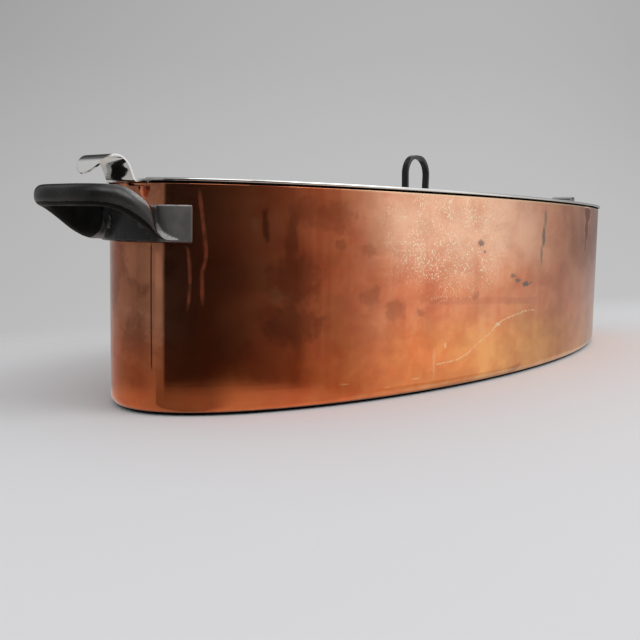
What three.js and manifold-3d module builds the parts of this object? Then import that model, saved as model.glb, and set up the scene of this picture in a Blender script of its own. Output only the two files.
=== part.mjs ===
// Oval fish kettle in copper and steel, with a lid and a lifting rack.
// Millimetres. +X runs along the kettle to its far end, -Y is its front and +Z is up.
// The origin is on the underside, at the middle of the oval.
import * as THREE from 'three';
import { mergeGeometries, mergeVertices } from 'three/addons/utils/BufferGeometryUtils.js';
import Module from 'manifold-3d';

const wasm = await Module();
wasm.setup();

// Body
const bodyHalfLength = 306;
const bodyHalfWidth = 109;
const bodyHeight = 128;
const copperThickness = 2;
const baseBendRadius = 6;
const seatGap = 0.3;
const copperEdgeDrop = 1;

// Steel liner, with its flange turned out over the copper's edge
const linerThickness = 1;
const flangeThickness = 0.7;
const flangeOverhang = 0.6;
const flangeBendRadius = 1;
const baseBendSteps = 4;

// Lid, with its edge turned down over the flange
const lidThickness = 0.7;
const lidOverhang = 1.6;
const lidLipDepth = 1.6;
const lidWallClearance = 1.3;
const lidBeadDepth = 5.5;
const lidBeadWidth = 3.6;
const lidBeadBendRadius = 1.2;
const lidDomeRise = 2.6;
const lidDomeKneeRise = 2.1;
const lidDomeKneeInset = 58;
const lidDomeFlatInset = 85;

// Lid handle, a narrow loop of strap
const loopWidth = 37;
const loopWaist = 34.5;
const loopHeight = 32;
const loopStrapWidth = 5.4;
const loopStrapThickness = 2.8;
const loopCrownRadius = 14;
const loopFootLength = 17;
const loopFootRivetShare = 0.55;
const loopFootBendRadius = 3.4;
const lidRivetShankRadius = 2;
const lidRivetHeadRadius = 2.7;
const lidRivetHeadHeight = 1.3;

// Bail handles, one casting each: a back plate round the wall and a bow
const plateThickness = 4;
const plateHalfWidth = 33.5;
const plateHeight = 20;
const plateTopBelowRim = 12.5;
const plateEdgeRadius = 0.8;
const bowReach = 44.4;
const bowHalfWidth = 31;
const bowRoundness = 3.2;
const bowSquareness = 2.15;
const bowTopBelowRim = 3.5;
const bowHeight = 11.2;
const bowThickness = 9.4;
const armRootThickness = 4;
const armRootLean = 12.2;
const armRootCurl = 5;
const armRootRun = 16;
const armCrestCurl = 3.5;
const armRootDepth = 9;
const armRootSquareness = 5;
const armTopStart = -3;
const armTopEnd = 34;
const armBottomStart = -2;
const armBottomEnd = 40;
const armTwistRun = 22;
const armLeanRun = 41;
const handleRivetSpacing = 25;
const handleRivetShankRadius = 2.5;
const handleRivetHeadRadius = 3.7;
const handleRivetHeadHeight = 1.6;
const handleRivetBelowPlateTop = 9.5;
const rivetShoulderRadiusShare = 0.75;
const rivetShoulderHeightShare = 0.7;

// Lifting rack
const rackWallClearance = 7;
const rackThickness = 1.2;
const rackLipDepth = 5;
const rackLipBendRadius = 1.8;
const rackHeight = 11;
const rackHoleRadius = 5;
const rackHolePitchX = 48;
const rackHolePitchY = 31;
const rackHoleMargin = 11;
const rackHoleFootGap = 2;
const rackFootX = 161;
const rackFootY = 46.5;
const rackFootRadius = 5;
const rackFootSpigotRadius = 2.2;
const rackFootHeadRadius = 4;
const rackFootHeadHeight = 1;
const rackFootSoleShare = 0.7;
const rackFootChamfer = 2;

// Lifters, strips that rise from the rack, cross the rim and curl over
const lifterWidth = 22;
const lifterThickness = 1.1;
const lifterFootLength = 24;
const lifterFootRivetShare = 0.6;
const lifterBendRadius = 3;
const lifterWallClearance = 5;
const hookStandOff = 18;
const nearHookRise = 13;
const farHookRise = 16;
const hookRadius = 10.4;
const hookRiseAngle = 66;
const hookFallAngle = 50;
const hookTongueLength = 8.4;
const hookFootRadius = 2.5;
const tongueRoundLength = 11;
const tongueSteps = 12;
const notchClearance = 1.6;
const lifterRivetSpacing = 12;
const lifterRivetShankRadius = 1.5;
const lifterRivetHeadRadius = 2.8;
const lifterRivetHeadHeight = 1;

// Width inside the liner where every oval keeps its distance from the wall
const parallelBand = 11;

// Fineness of the facets
const ovalFacets = 48;
const bendSteps = 3;
const beadSteps = 1;
const crownSteps = 10;
const bowFacets = 20;
const armSectionFacets = 12;
const roundFacets = 10;
const footFacets = 10;
const holeFacets = 8;

// Levels and distances that follow from the sizes above
const copperInside = copperThickness;
const linerOutside = copperInside + seatGap;
const linerInside = linerOutside + linerThickness;
const linerFloorTop = copperThickness + seatGap + linerThickness;
const copperTop = bodyHeight - copperEdgeDrop;
const flangeBottom = bodyHeight + seatGap;
const flangeTop = flangeBottom + flangeThickness;
const lidFlangeBottom = flangeTop + seatGap;
const lidFlangeTop = lidFlangeBottom + lidThickness;
const lidDomeTop = lidFlangeTop + lidDomeRise;
const rackBottom = linerFloorTop + rackHeight;
const rackTop = rackBottom + rackThickness;
const plateTop = bodyHeight - plateTopBelowRim;
const plateBottom = plateTop - plateHeight;
const lifterInset = linerInside + lifterWallClearance + lifterThickness / 2;
const rivetLevel = plateTop - handleRivetBelowPlateTop;

// Finishes
const copper = { color: 0xb5643c, roughness: 0.28, metalness: 1 };
const steel = { color: 0xc8c8c6, roughness: 0.22, metalness: 1 };
const polishedSteel = { color: 0xd6d6d4, roughness: 0.1, metalness: 1 };
const blackIron = { color: 0x2c2b2a, roughness: 0.55, metalness: 0.6 };

// Solids and cuts
function solidOf(geometry) {
  const bare = geometry.index ? geometry.clone() : geometry;
  for (const name of ['normal', 'uv']) {
    bare.deleteAttribute(name);
  }
  const welded = mergeVertices(bare, 1e-4);
  return new wasm.Manifold(new wasm.Mesh({
    numProp: 3,
    vertProperties: new Float32Array(welded.attributes.position.array),
    triVerts: new Uint32Array(welded.index.array),
  }));
}

function geometryOf(solid) {
  const mesh = solid.getMesh();
  const geometry = new THREE.BufferGeometry();
  geometry.setAttribute('position', new THREE.BufferAttribute(mesh.vertProperties, 3));
  geometry.setIndex(new THREE.BufferAttribute(mesh.triVerts, 1));
  return geometry;
}

function cut(geometry, ...cutters) {
  const solid = cutters.reduce((left, cutter) => left.subtract(solidOf(cutter)), solidOf(geometry));
  return geometryOf(solid);
}

// A closed body through rings of points, each ring a list of Vector3.
// A ring of one point is the tip of a fan. A loop of rings joins its last ring to its first.
function ringBody(rings, loop) {
  const positions = rings.flatMap((ring) => ring.flatMap((point) => point.toArray()));
  const firsts = [];
  rings.reduce((start, ring) => {
    firsts.push(start);
    return start + ring.length;
  }, 0);
  const index = [];
  const joins = loop ? rings.length : rings.length - 1;
  for (let k = 0; k < joins; k += 1) {
    const next = (k + 1) % rings.length;
    const count = Math.max(rings[k].length, rings[next].length);
    for (let i = 0; i < count && rings[k].length + rings[next].length > 2; i += 1) {
      const j = (i + 1) % count;
      const [a, b] = [i, j].map((n) => firsts[k] + (rings[k].length > 1 ? n : 0));
      const [c, d] = [i, j].map((n) => firsts[next] + (rings[next].length > 1 ? n : 0));
      if (a !== b) {
        index.push(a, b, c);
      }
      if (c !== d) {
        index.push(b, d, c);
      }
    }
  }
  const geometry = new THREE.BufferGeometry();
  geometry.setAttribute('position', new THREE.Float32BufferAttribute(positions, 3));
  geometry.setIndex(index);
  return facingOut(geometry);
}

// Turns the faces round where they enclose a negative volume
function facingOut(geometry) {
  const { position } = geometry.attributes;
  const faces = geometry.index.array;
  const corner = (n) => new THREE.Vector3().fromBufferAttribute(position, faces[n]);
  let volume = 0;
  for (let n = 0; n < faces.length; n += 3) {
    volume += corner(n).dot(corner(n + 1).cross(corner(n + 2)));
  }
  if (volume < 0) {
    geometry.setIndex([...faces].reverse());
  }
  return geometry;
}

// Lines with rounded corners, and the outline of sheet metal bent along such a line
function roundedLine(corners) {
  const line = [];
  corners.forEach(({ at, radius = 0, steps = bendSteps }, n) => {
    const before = corners[n - 1]?.at;
    const after = corners[n + 1]?.at;
    if (!before || !after || radius === 0) {
      line.push(at.clone());
      return;
    }
    const back = before.clone().sub(at).normalize();
    const ahead = after.clone().sub(at).normalize();
    const halfAngle = Math.acos(THREE.MathUtils.clamp(back.dot(ahead), -1, 1)) / 2;
    const centre = back.clone().add(ahead).normalize();
    centre.multiplyScalar(radius / Math.sin(halfAngle)).add(at);
    const start = back.multiplyScalar(radius / Math.tan(halfAngle)).add(at).sub(centre);
    const end = ahead.multiplyScalar(radius / Math.tan(halfAngle)).add(at).sub(centre);
    const sweep = Math.atan2(start.cross(end), start.dot(end));
    for (let k = 0; k <= steps; k += 1) {
      line.push(start.clone().rotateAround(new THREE.Vector2(), (sweep * k) / steps).add(centre));
    }
  });
  return line;
}

function offsetLine(line, distance) {
  return line.map((point, n) => {
    const before = line[Math.max(n - 1, 0)];
    const after = line[Math.min(n + 1, line.length - 1)];
    const inward = point.clone().sub(n > 0 ? before : after).normalize();
    const outward = after.clone().sub(point).normalize();
    if (n === 0) {
      inward.copy(outward);
    }
    if (n === line.length - 1) {
      outward.copy(inward);
    }
    const along = inward.clone().add(outward).normalize();
    const side = new THREE.Vector2(-along.y, along.x);
    return side.multiplyScalar(distance / along.dot(inward)).add(point);
  });
}

function sheetOutline(corners, thickness) {
  const line = roundedLine(corners);
  return [...offsetLine(line, thickness / 2), ...offsetLine(line, -thickness / 2).reverse()];
}

const corner = (x, y, radius, steps) => ({ at: new THREE.Vector2(x, y), radius, steps });

// The body's oval. Angles are closer together where it bends most, so every facet has the same sag.
function ovalAngles(count) {
  const samples = count * 40;
  const sums = [0];
  for (let k = 0; k < samples; k += 1) {
    const angle = ((k + 0.5) * 2 * Math.PI) / samples;
    const speed = Math.hypot(bodyHalfLength * Math.sin(angle), bodyHalfWidth * Math.cos(angle));
    sums.push(sums[k] + 1 / Math.sqrt(speed));
  }
  const angles = [];
  for (let k = 0, n = 0; n < count; n += 1) {
    const wanted = (sums[samples] * n) / count;
    while (sums[k + 1] < wanted) {
      k += 1;
    }
    const share = (wanted - sums[k]) / (sums[k + 1] - sums[k]);
    angles.push(((k + share) * 2 * Math.PI) / samples);
  }
  return angles;
}

// A point of the oval moved inward by inset, square to the outline
function ovalPoint(angle, inset, target = new THREE.Vector2()) {
  const cos = Math.cos(angle);
  const sin = Math.sin(angle);
  const length = Math.hypot(bodyHalfWidth * cos, bodyHalfLength * sin);
  return target.set(
    (bodyHalfLength - (inset * bodyHalfWidth) / length) * cos,
    (bodyHalfWidth - (inset * bodyHalfLength) / length) * sin,
  );
}

// Insets up to parallelInset follow the wall, and deeper ones shrink to the middle of the oval
const parallelInset = linerInside + parallelBand;

function ovalRing(angles, inset, z) {
  if (inset >= bodyHalfWidth) {
    return [new THREE.Vector3(0, 0, z)];
  }
  const parallel = Math.min(inset, parallelInset);
  const share = (bodyHalfWidth - inset) / (bodyHalfWidth - parallel);
  return angles.map((angle) => {
    const point = ovalPoint(angle, parallel).multiplyScalar(share);
    return new THREE.Vector3(point.x, point.y, z);
  });
}

// A pressed or spun oval sheet whose section runs through corners of (inset, height)
function ovalSheet(corners, thickness) {
  const angles = ovalAngles(ovalFacets);
  const rings = sheetOutline(corners, thickness).map(({ x, y }) => ovalRing(angles, x, y));
  return ringBody(rings, true);
}

const endBox = (x0, x1, halfWidth, z0, z1) => new THREE.BoxGeometry(
  Math.abs(x1 - x0), 2 * halfWidth, z1 - z0,
).translate((x0 + x1) / 2, 0, (z0 + z1) / 2);

function drill(radius, x, y, z0, z1, facets = roundFacets) {
  const drillBody = new THREE.CylinderGeometry(radius, radius, z1 - z0, facets);
  return drillBody.rotateX(Math.PI / 2).translate(x, y, (z0 + z1) / 2);
}

// Copper shell and steel liner
function wallDrills() {
  return handleRivetPlaces().map(({ place }) => {
    const length = 2 * (plateThickness + linerInside + 2 * armRootDepth);
    const radius = handleRivetShankRadius + seatGap;
    return new THREE.CylinderGeometry(radius, radius, length, roundFacets).applyMatrix4(place);
  });
}

// Notches for the lifters, cut into both ends from outside
function endNotches(z0, z1, depth) {
  const halfWidth = lifterWidth / 2 + notchClearance;
  return [-1, 1].map((end) => endBox(
    end * (bodyHalfLength + 2 * lidOverhang), end * (bodyHalfLength - depth), halfWidth, z0, z1,
  ));
}

function copperShell() {
  const middle = copperThickness / 2;
  const shell = ovalSheet([
    corner(middle, copperTop),
    corner(middle, middle, baseBendRadius, baseBendSteps),
    corner(bodyHalfWidth, middle),
  ], copperThickness);
  return cut(shell, ...wallDrills());
}

function steelLiner() {
  const wallMiddle = linerOutside + linerThickness / 2;
  const floorMiddle = linerFloorTop - linerThickness / 2;
  const pan = ovalSheet([
    corner(wallMiddle, flangeTop - linerThickness),
    corner(wallMiddle, floorMiddle, baseBendRadius - wallMiddle + copperThickness / 2, baseBendSteps),
    corner(bodyHalfWidth, floorMiddle),
  ], linerThickness);
  const angles = ovalAngles(ovalFacets);
  const overlap = linerThickness;
  const flangeSection = [
    [linerInside, flangeBottom - overlap],
    [linerInside, flangeTop - flangeBendRadius / 2],
    [linerInside - flangeBendRadius / 2, flangeTop],
    [-flangeOverhang, flangeTop],
    [-flangeOverhang, flangeBottom],
    [linerOutside, flangeBottom],
    [linerOutside, flangeBottom - overlap],
  ];
  const flange = ringBody(flangeSection.map(([inset, z]) => ovalRing(angles, inset, z)), true);
  const whole = solidOf(pan).add(solidOf(flange));
  const notches = endNotches(copperTop, lidFlangeTop, linerInside + lifterWallClearance);
  return cut(geometryOf(whole), ...notches, ...wallDrills());
}

// Lid
function lidPlate() {
  const level = lidFlangeBottom + lidThickness / 2;
  const lip = lidThickness / 2 - lidOverhang;
  const beadStart = linerInside + lidWallClearance + lidThickness / 2;
  const beadEnd = beadStart + lidBeadWidth;
  const lid = ovalSheet([
    corner(lip, lidFlangeTop - lidLipDepth),
    corner(lip, level),
    corner(beadStart, level, lidBeadBendRadius, beadSteps),
    corner(beadStart, level - lidBeadDepth, lidBeadBendRadius, beadSteps),
    corner(beadEnd, level - lidBeadDepth, lidBeadBendRadius, beadSteps),
    corner(beadEnd, level, lidBeadBendRadius, beadSteps),
    corner(lidDomeKneeInset, level + lidDomeKneeRise),
    corner(lidDomeFlatInset, level + lidDomeRise),
    corner(bodyHalfWidth, level + lidDomeRise),
  ], lidThickness);
  const notchDepth = lifterInset + lifterThickness / 2 + notchClearance;
  const notches = endNotches(level - 2 * lidBeadDepth, lidDomeTop, notchDepth);
  const drills = lidRivetPlaces().map((x) => drill(
    lidRivetShankRadius + seatGap, x, 0, level - lidBeadDepth, lidDomeTop + lidThickness,
  ));
  return cut(lid, ...notches, ...drills);
}

const loopFootCentre = loopWaist / 2 + loopFootLength * loopFootRivetShare;
const lidRivetPlaces = () => [-loopFootCentre, loopFootCentre];

function lidHandle() {
  const half = loopStrapThickness / 2;
  const footLevel = lidDomeTop + seatGap + half;
  const crownLevel = lidDomeTop + seatGap + loopHeight - half;
  const footEnd = loopWaist / 2 + loopFootLength;
  const side = (sign) => [
    corner(sign * footEnd, footLevel),
    corner(sign * (loopWaist / 2 - half), footLevel, loopFootBendRadius),
    corner(sign * (loopWidth / 2 - half), crownLevel, loopCrownRadius, crownSteps / 2),
  ];
  const outline = sheetOutline([...side(-1), ...side(1).reverse()], loopStrapThickness);
  const strap = new THREE.ExtrudeGeometry(new THREE.Shape(outline), {
    depth: loopStrapWidth, bevelEnabled: false,
  });
  strap.rotateX(Math.PI / 2).translate(0, loopStrapWidth / 2, 0);
  const drills = lidRivetPlaces().map((x) => drill(
    lidRivetShankRadius + seatGap, x, 0, footLevel - loopStrapThickness, footLevel + loopStrapThickness,
  ));
  return cut(strap, ...drills);
}

// Bail handles. The bow's plan is a superellipse, and its section leans, twists and rounds off
// as it leaves the wall.
const ease = THREE.MathUtils.smoothstep;
const blend = THREE.MathUtils.lerp;

function bowPlan() {
  const plan = [];
  for (let k = 0; k <= bowFacets; k += 1) {
    const angle = Math.PI * (k / bowFacets - 0.5);
    const across = Math.abs(Math.sin(angle) / bowHalfWidth) ** bowRoundness;
    const along = Math.abs(Math.cos(angle) / bowReach) ** bowRoundness;
    const radius = (across + along) ** (-1 / bowRoundness);
    plan.push(new THREE.Vector2(radius * Math.cos(angle), radius * Math.sin(angle)));
  }
  const root = new THREE.Vector2(-armRootDepth, bowHalfWidth);
  return [root.clone().multiply(new THREE.Vector2(1, -1)), ...plan, root];
}

function bowSection(point, outward) {
  const out = point.x;
  const twist = ease(out, 0, armTwistRun);
  const bowTop = bodyHeight - bowTopBelowRim;
  const top = blend(plateTop - plateEdgeRadius, bowTop, ease(out, armTopStart, armTopEnd));
  const sink = ease(out, armBottomStart, armBottomEnd);
  const bottom = blend(plateBottom + plateEdgeRadius, bowTop - bowHeight, sink);
  const thickness = blend(armRootThickness, bowThickness, twist);
  const squareness = blend(armRootSquareness, bowSquareness, twist);
  const lean = blend(armRootLean, 0, ease(out, 0, armLeanRun));
  const ring = [];
  for (let k = 0; k < armSectionFacets; k += 1) {
    const angle = (2 * Math.PI * k) / armSectionFacets;
    const up = Math.sign(Math.sin(angle)) * Math.abs(Math.sin(angle)) ** (2 / squareness);
    const side = Math.sign(Math.cos(angle)) * Math.abs(Math.cos(angle)) ** (2 / squareness);
    const crest = ((1 + up) / 2) ** armCrestCurl;
    const foot = 1 - ((1 - up) / 2) ** armRootCurl;
    const offset = (side * thickness) / 2 - lean * blend(foot, crest, ease(out, 0, armRootRun));
    ring.push(new THREE.Vector3(
      point.x + outward.x * offset,
      point.y + outward.y * offset,
      blend(bottom, top, (1 + up) / 2),
    ));
  }
  return ring;
}

// The bow, built along +X from the plate's outer face, with the wall's tip at x = bodyHalfLength
function bow() {
  const plan = bowPlan();
  const rings = plan.map((point, n) => {
    const before = plan[Math.max(n - 1, 0)];
    const after = plan[Math.min(n + 1, plan.length - 1)];
    const along = after.clone().sub(before).normalize();
    return bowSection(point, new THREE.Vector2(along.y, -along.x));
  });
  const middleOf = (ring) => ring.reduce((sum, point) => sum.add(point), new THREE.Vector3())
    .divideScalar(ring.length);
  const capped = [[middleOf(rings[0])], ...rings, [middleOf(rings.at(-1))]];
  return ringBody(capped, false).translate(bodyHalfLength, 0, 0);
}

function backPlate() {
  const inner = [];
  const outer = [];
  const edge = Math.asin((plateHalfWidth - plateEdgeRadius) / bodyHalfWidth);
  for (let k = 0; k <= bowFacets; k += 1) {
    const angle = blend(-edge, edge, k / bowFacets);
    inner.push(ovalPoint(angle, -seatGap - plateEdgeRadius));
    outer.push(ovalPoint(angle, -seatGap - plateThickness + plateEdgeRadius));
  }
  const plate = new THREE.ExtrudeGeometry(new THREE.Shape([...outer, ...inner.reverse()]), {
    depth: plateHeight - 2 * plateEdgeRadius,
    bevelThickness: plateEdgeRadius,
    bevelSize: plateEdgeRadius,
    bevelSegments: 1,
  });
  return plate.translate(0, 0, plateBottom + plateEdgeRadius);
}

function wallBlock() {
  const angles = ovalAngles(ovalFacets * 2);
  const low = ovalRing(angles, -seatGap, -bodyHeight);
  const high = ovalRing(angles, -seatGap, 2 * bodyHeight);
  const capOf = (z) => [new THREE.Vector3(0, 0, z)];
  return ringBody([capOf(-bodyHeight), low, high, capOf(2 * bodyHeight)], false);
}

// Rivet places on one end's wall: a frame whose +Y points straight out of the wall
function handleRivetPlaces() {
  return [0, Math.PI].flatMap((turn) => [-1, 1].map((side) => {
    const angle = Math.asin((side * handleRivetSpacing) / 2 / bodyHalfWidth);
    const point = ovalPoint(angle, 0);
    const ahead = ovalPoint(angle, -1).sub(point);
    const out = new THREE.Vector3(ahead.x, ahead.y, 0).normalize();
    const up = new THREE.Vector3(0, 0, 1);
    const place = new THREE.Matrix4().makeBasis(out.clone().cross(up), out, up);
    place.setPosition(point.x, point.y, rivetLevel);
    place.premultiply(new THREE.Matrix4().makeRotationZ(turn));
    const speed = Math.hypot(bodyHalfLength * Math.sin(angle), bodyHalfWidth * Math.cos(angle));
    const bendRadius = speed ** 3 / (bodyHalfLength * bodyHalfWidth);
    return { place, bendRadius, turn, side };
  }));
}

function handle() {
  const whole = solidOf(backPlate()).add(solidOf(bow()));
  return cut(geometryOf(whole), wallBlock(), ...wallDrills());
}

// A rivet on the Y axis: a shank from y = low to y = high between two low domed heads
function rivet(shankRadius, headRadius, headHeight, low, high) {
  const bulge = (sign, base) => [
    [headRadius, base],
    [headRadius * rivetShoulderRadiusShare, base + sign * headHeight * rivetShoulderHeightShare],
    [0, base + sign * headHeight],
  ];
  const profile = [
    ...bulge(-1, low).reverse(),
    [shankRadius, low],
    [shankRadius, high],
    ...bulge(1, high),
  ].map(([x, y]) => new THREE.Vector2(x, y));
  return new THREE.LatheGeometry(profile, roundFacets);
}

function handleRivet({ place, bendRadius }) {
  const hollow = handleRivetHeadRadius ** 2 / (2 * (bendRadius - linerInside));
  const outside = seatGap + plateThickness + seatGap;
  const inside = linerInside + hollow + seatGap;
  return rivet(
    handleRivetShankRadius, handleRivetHeadRadius, handleRivetHeadHeight, -inside, outside,
  ).applyMatrix4(place);
}

const uprightRivet = (shank, head, height, z0, z1, x, y) => rivet(shank, head, height, z0, z1)
  .rotateX(Math.PI / 2).translate(x, y, 0);

// Rack
const rackDrill = (radius, x, y) => drill(
  radius, x, y, rackBottom - rackThickness, rackTop + rackThickness, holeFacets,
);

function rackHoles() {
  const rows = Math.floor(bodyHalfWidth / rackHolePitchY);
  const columns = Math.floor(bodyHalfLength / rackHolePitchX);
  const clear = linerInside + rackWallClearance + rackHoleMargin;
  const holes = [];
  for (let row = -rows; row <= rows; row += 1) {
    for (let column = -columns; column <= columns; column += 1) {
      const x = (column + (row % 2 === 0 ? 0 : 0.5)) * rackHolePitchX;
      const y = row * rackHolePitchY;
      const inside = (x / (bodyHalfLength - clear)) ** 2 + (y / (bodyHalfWidth - clear)) ** 2 < 1;
      const footed = rackFootPlaces().some(([fx, fy]) => (
        Math.hypot(x - fx, y - fy) < rackFootRadius + rackHoleRadius + rackHoleFootGap
      ));
      const lifted = Math.abs(y) < lifterWidth / 2 + rackHoleRadius
        && Math.abs(x) > bodyHalfLength - lifterInset - lifterFootLength - 2 * rackHoleRadius;
      if (inside && !footed && !lifted) {
        holes.push(rackDrill(rackHoleRadius, x, y));
      }
    }
  }
  return holes;
}

const rackFootPlaces = () => [-1, 1].flatMap((end) => [-1, 1].map((side) => (
  [end * rackFootX, side * rackFootY]
)));

const lifterRivetX = () => bodyHalfLength - lifterInset - lifterFootLength * lifterFootRivetShare;
const lifterRivetPlaces = () => [-1, 1].flatMap((end) => [-1, 1].map((side) => (
  [end * lifterRivetX(), (side * lifterRivetSpacing) / 2]
)));

function rackPlate() {
  const edge = linerInside + rackWallClearance;
  const level = rackTop - rackThickness / 2;
  const plate = ovalSheet([
    corner(edge, rackTop - rackLipDepth),
    corner(edge, level, rackLipBendRadius),
    corner(bodyHalfWidth, level),
  ], rackThickness);
  const spigots = rackFootPlaces().map((place) => rackDrill(rackFootSpigotRadius + seatGap, ...place));
  const shanks = lifterRivetPlaces().map((place) => rackDrill(
    lifterRivetShankRadius + seatGap, ...place,
  ));
  return cut(plate, mergeGeometries([...rackHoles(), ...spigots, ...shanks]));
}

function rackFoot([x, y]) {
  const bottom = linerFloorTop + seatGap;
  const shoulder = rackBottom - seatGap;
  const head = rackTop + seatGap;
  const profile = [
    [0, bottom],
    [rackFootRadius * rackFootSoleShare, bottom],
    [rackFootRadius, bottom + rackFootChamfer],
    [rackFootRadius, shoulder],
    [rackFootSpigotRadius, shoulder],
    [rackFootSpigotRadius, head],
    [rackFootHeadRadius, head],
    [rackFootHeadRadius * rackFootSoleShare, head + rackFootHeadHeight],
    [0, head + rackFootHeadHeight],
  ].map(([radius, z]) => new THREE.Vector2(radius, z));
  return new THREE.LatheGeometry(profile, footFacets).rotateX(Math.PI / 2).translate(x, y, 0);
}

// A lifter at the far end, drawn in (x, z) and pulled out along Y
function lifter(hookRise) {
  const footLevel = rackTop + seatGap + lifterThickness / 2;
  const rimLevel = copperTop + seatGap + lifterThickness / 2;
  const riserX = bodyHalfLength - lifterInset;
  const rise = THREE.MathUtils.degToRad(hookRiseAngle);
  const fall = THREE.MathUtils.degToRad(hookFallAngle);
  const apexX = bodyHalfLength + hookStandOff;
  const arcLevel = bodyHeight + hookRise - hookRadius - lifterThickness / 2;
  const reach = hookRadius / Math.cos((rise + fall) / 2);
  const middle = (fall - rise) / 2;
  const crown = new THREE.Vector2(
    apexX + reach * Math.sin(middle),
    arcLevel + reach * Math.cos(middle),
  );
  const hookFoot = crown.x - (crown.y - rimLevel) / Math.tan(rise);
  const tongue = hookRadius * Math.tan((rise + fall) / 2) + hookTongueLength;
  const tip = new THREE.Vector2(Math.cos(fall), -Math.sin(fall)).multiplyScalar(tongue).add(crown);
  const outline = sheetOutline([
    corner(riserX - lifterFootLength, footLevel),
    corner(riserX, footLevel, lifterBendRadius),
    corner(riserX, rimLevel, lifterBendRadius),
    corner(hookFoot, rimLevel, hookFootRadius),
    corner(crown.x, crown.y, hookRadius, crownSteps),
    corner(tip.x, tip.y),
  ], lifterThickness);
  const strip = new THREE.ExtrudeGeometry(new THREE.Shape(outline), {
    depth: lifterWidth, bevelEnabled: false,
  });
  strip.rotateX(Math.PI / 2).translate(0, lifterWidth / 2, 0);
  const end = tip.x + lifterThickness / 2;
  const plan = new THREE.Shape();
  plan.moveTo(riserX - 2 * lifterFootLength, -lifterWidth);
  plan.lineTo(end - tongueRoundLength, -lifterWidth);
  plan.lineTo(end - tongueRoundLength, -lifterWidth / 2);
  plan.absellipse(
    end - tongueRoundLength, 0, tongueRoundLength, lifterWidth / 2, -Math.PI / 2, Math.PI / 2,
  );
  plan.lineTo(end - tongueRoundLength, lifterWidth);
  plan.lineTo(riserX - 2 * lifterFootLength, lifterWidth);
  const trim = new THREE.ExtrudeGeometry(plan, {
    depth: 2 * bodyHeight, bevelEnabled: false, curveSegments: tongueSteps,
  });
  const rounded = solidOf(strip).intersect(solidOf(trim));
  const drills = lifterRivetPlaces().filter(([x]) => x > 0).map(([x, y]) => drill(
    lifterRivetShankRadius + seatGap, x, y, rackTop, footLevel + lifterThickness, holeFacets,
  ));
  return cut(geometryOf(rounded), ...drills);
}

// Assembly
const kettle = new THREE.Group();

function add(name, geometry, finish, turn = 0) {
  const mesh = new THREE.Mesh(geometry, new THREE.MeshStandardMaterial(finish));
  mesh.name = name;
  mesh.rotation.z = turn;
  kettle.add(mesh);
}

add('copper_shell', copperShell(), copper);
add('steel_liner', steelLiner(), steel);

const ends = [['near', Math.PI, nearHookRise], ['far', 0, farHookRise]];
const sideName = (side) => (side < 0 ? 'front' : 'back');

for (const [end, turn] of ends) {
  add(`${end}_handle`, handle(), blackIron, turn);
}
for (const rivetPlace of handleRivetPlaces()) {
  const end = rivetPlace.turn === 0 ? 'far' : 'near';
  const side = rivetPlace.turn === 0 ? rivetPlace.side : -rivetPlace.side;
  add(`${end}_handle_rivet_${sideName(side)}`, handleRivet(rivetPlace), blackIron);
}

add('lid_plate', lidPlate(), steel);
add('lid_handle', lidHandle(), blackIron);
for (const x of lidRivetPlaces()) {
  const shank = [
    lidDomeTop - lidThickness - seatGap,
    lidDomeTop + seatGap + loopStrapThickness + seatGap,
  ];
  add(`lid_rivet_${x < 0 ? 'near' : 'far'}`, uprightRivet(
    lidRivetShankRadius, lidRivetHeadRadius, lidRivetHeadHeight, ...shank, x, 0,
  ), steel);
}

add('rack_plate', rackPlate(), steel);
for (const place of rackFootPlaces()) {
  const end = place[0] < 0 ? 'near' : 'far';
  add(`rack_foot_${end}_${sideName(place[1])}`, rackFoot(place), steel);
}
for (const [end, turn, hookRise] of ends) {
  add(`${end}_lifter`, lifter(hookRise), polishedSteel, turn);
}
for (const [x, y] of lifterRivetPlaces()) {
  const shank = [
    rackBottom - seatGap,
    rackTop + seatGap + lifterThickness + seatGap,
  ];
  add(`${x < 0 ? 'near' : 'far'}_lifter_rivet_${sideName(y)}`, uprightRivet(
    lifterRivetShankRadius, lifterRivetHeadRadius, lifterRivetHeadHeight, ...shank, x, y,
  ), steel);
}

export default kettle;
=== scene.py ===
"""Looks of the oval fish kettle: copper, stainless steel and black iron, with its studio and camera."""

from math import acos, asin, atan2, copysign, cos, hypot, pi, radians, sin, sqrt, tan

import bmesh
import bpy
from mathutils import Matrix, Vector


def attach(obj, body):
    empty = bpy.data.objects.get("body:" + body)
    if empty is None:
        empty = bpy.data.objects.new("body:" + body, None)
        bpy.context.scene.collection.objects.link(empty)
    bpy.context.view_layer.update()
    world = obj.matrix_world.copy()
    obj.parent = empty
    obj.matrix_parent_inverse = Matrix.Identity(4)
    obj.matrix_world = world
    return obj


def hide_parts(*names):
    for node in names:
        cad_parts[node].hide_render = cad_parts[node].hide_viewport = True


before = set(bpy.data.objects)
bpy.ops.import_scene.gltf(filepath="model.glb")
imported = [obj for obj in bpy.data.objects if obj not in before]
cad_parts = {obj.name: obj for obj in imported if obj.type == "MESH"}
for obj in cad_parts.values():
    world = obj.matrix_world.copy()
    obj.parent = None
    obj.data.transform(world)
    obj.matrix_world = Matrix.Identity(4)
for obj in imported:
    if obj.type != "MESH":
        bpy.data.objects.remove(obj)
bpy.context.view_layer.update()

# Sizes of the part, in millimetres
BODY_A, BODY_B, BODY_H = 306.0, 109.0, 128.0
COPPER, GAP, LINER, COPPER_DROP = 2.0, 0.3, 1.0, 1.0
BASE_BEND = 6.0
FLANGE, FLANGE_OUT, FLANGE_BEND = 0.7, 0.6, 1.0
LID, LID_OUT, LID_CLEAR, LIP_DEEP = 0.7, 1.6, 1.3, 1.6
BEAD_DEEP, BEAD_WIDE, BEAD_BEND = 5.5, 3.6, 1.2
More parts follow.
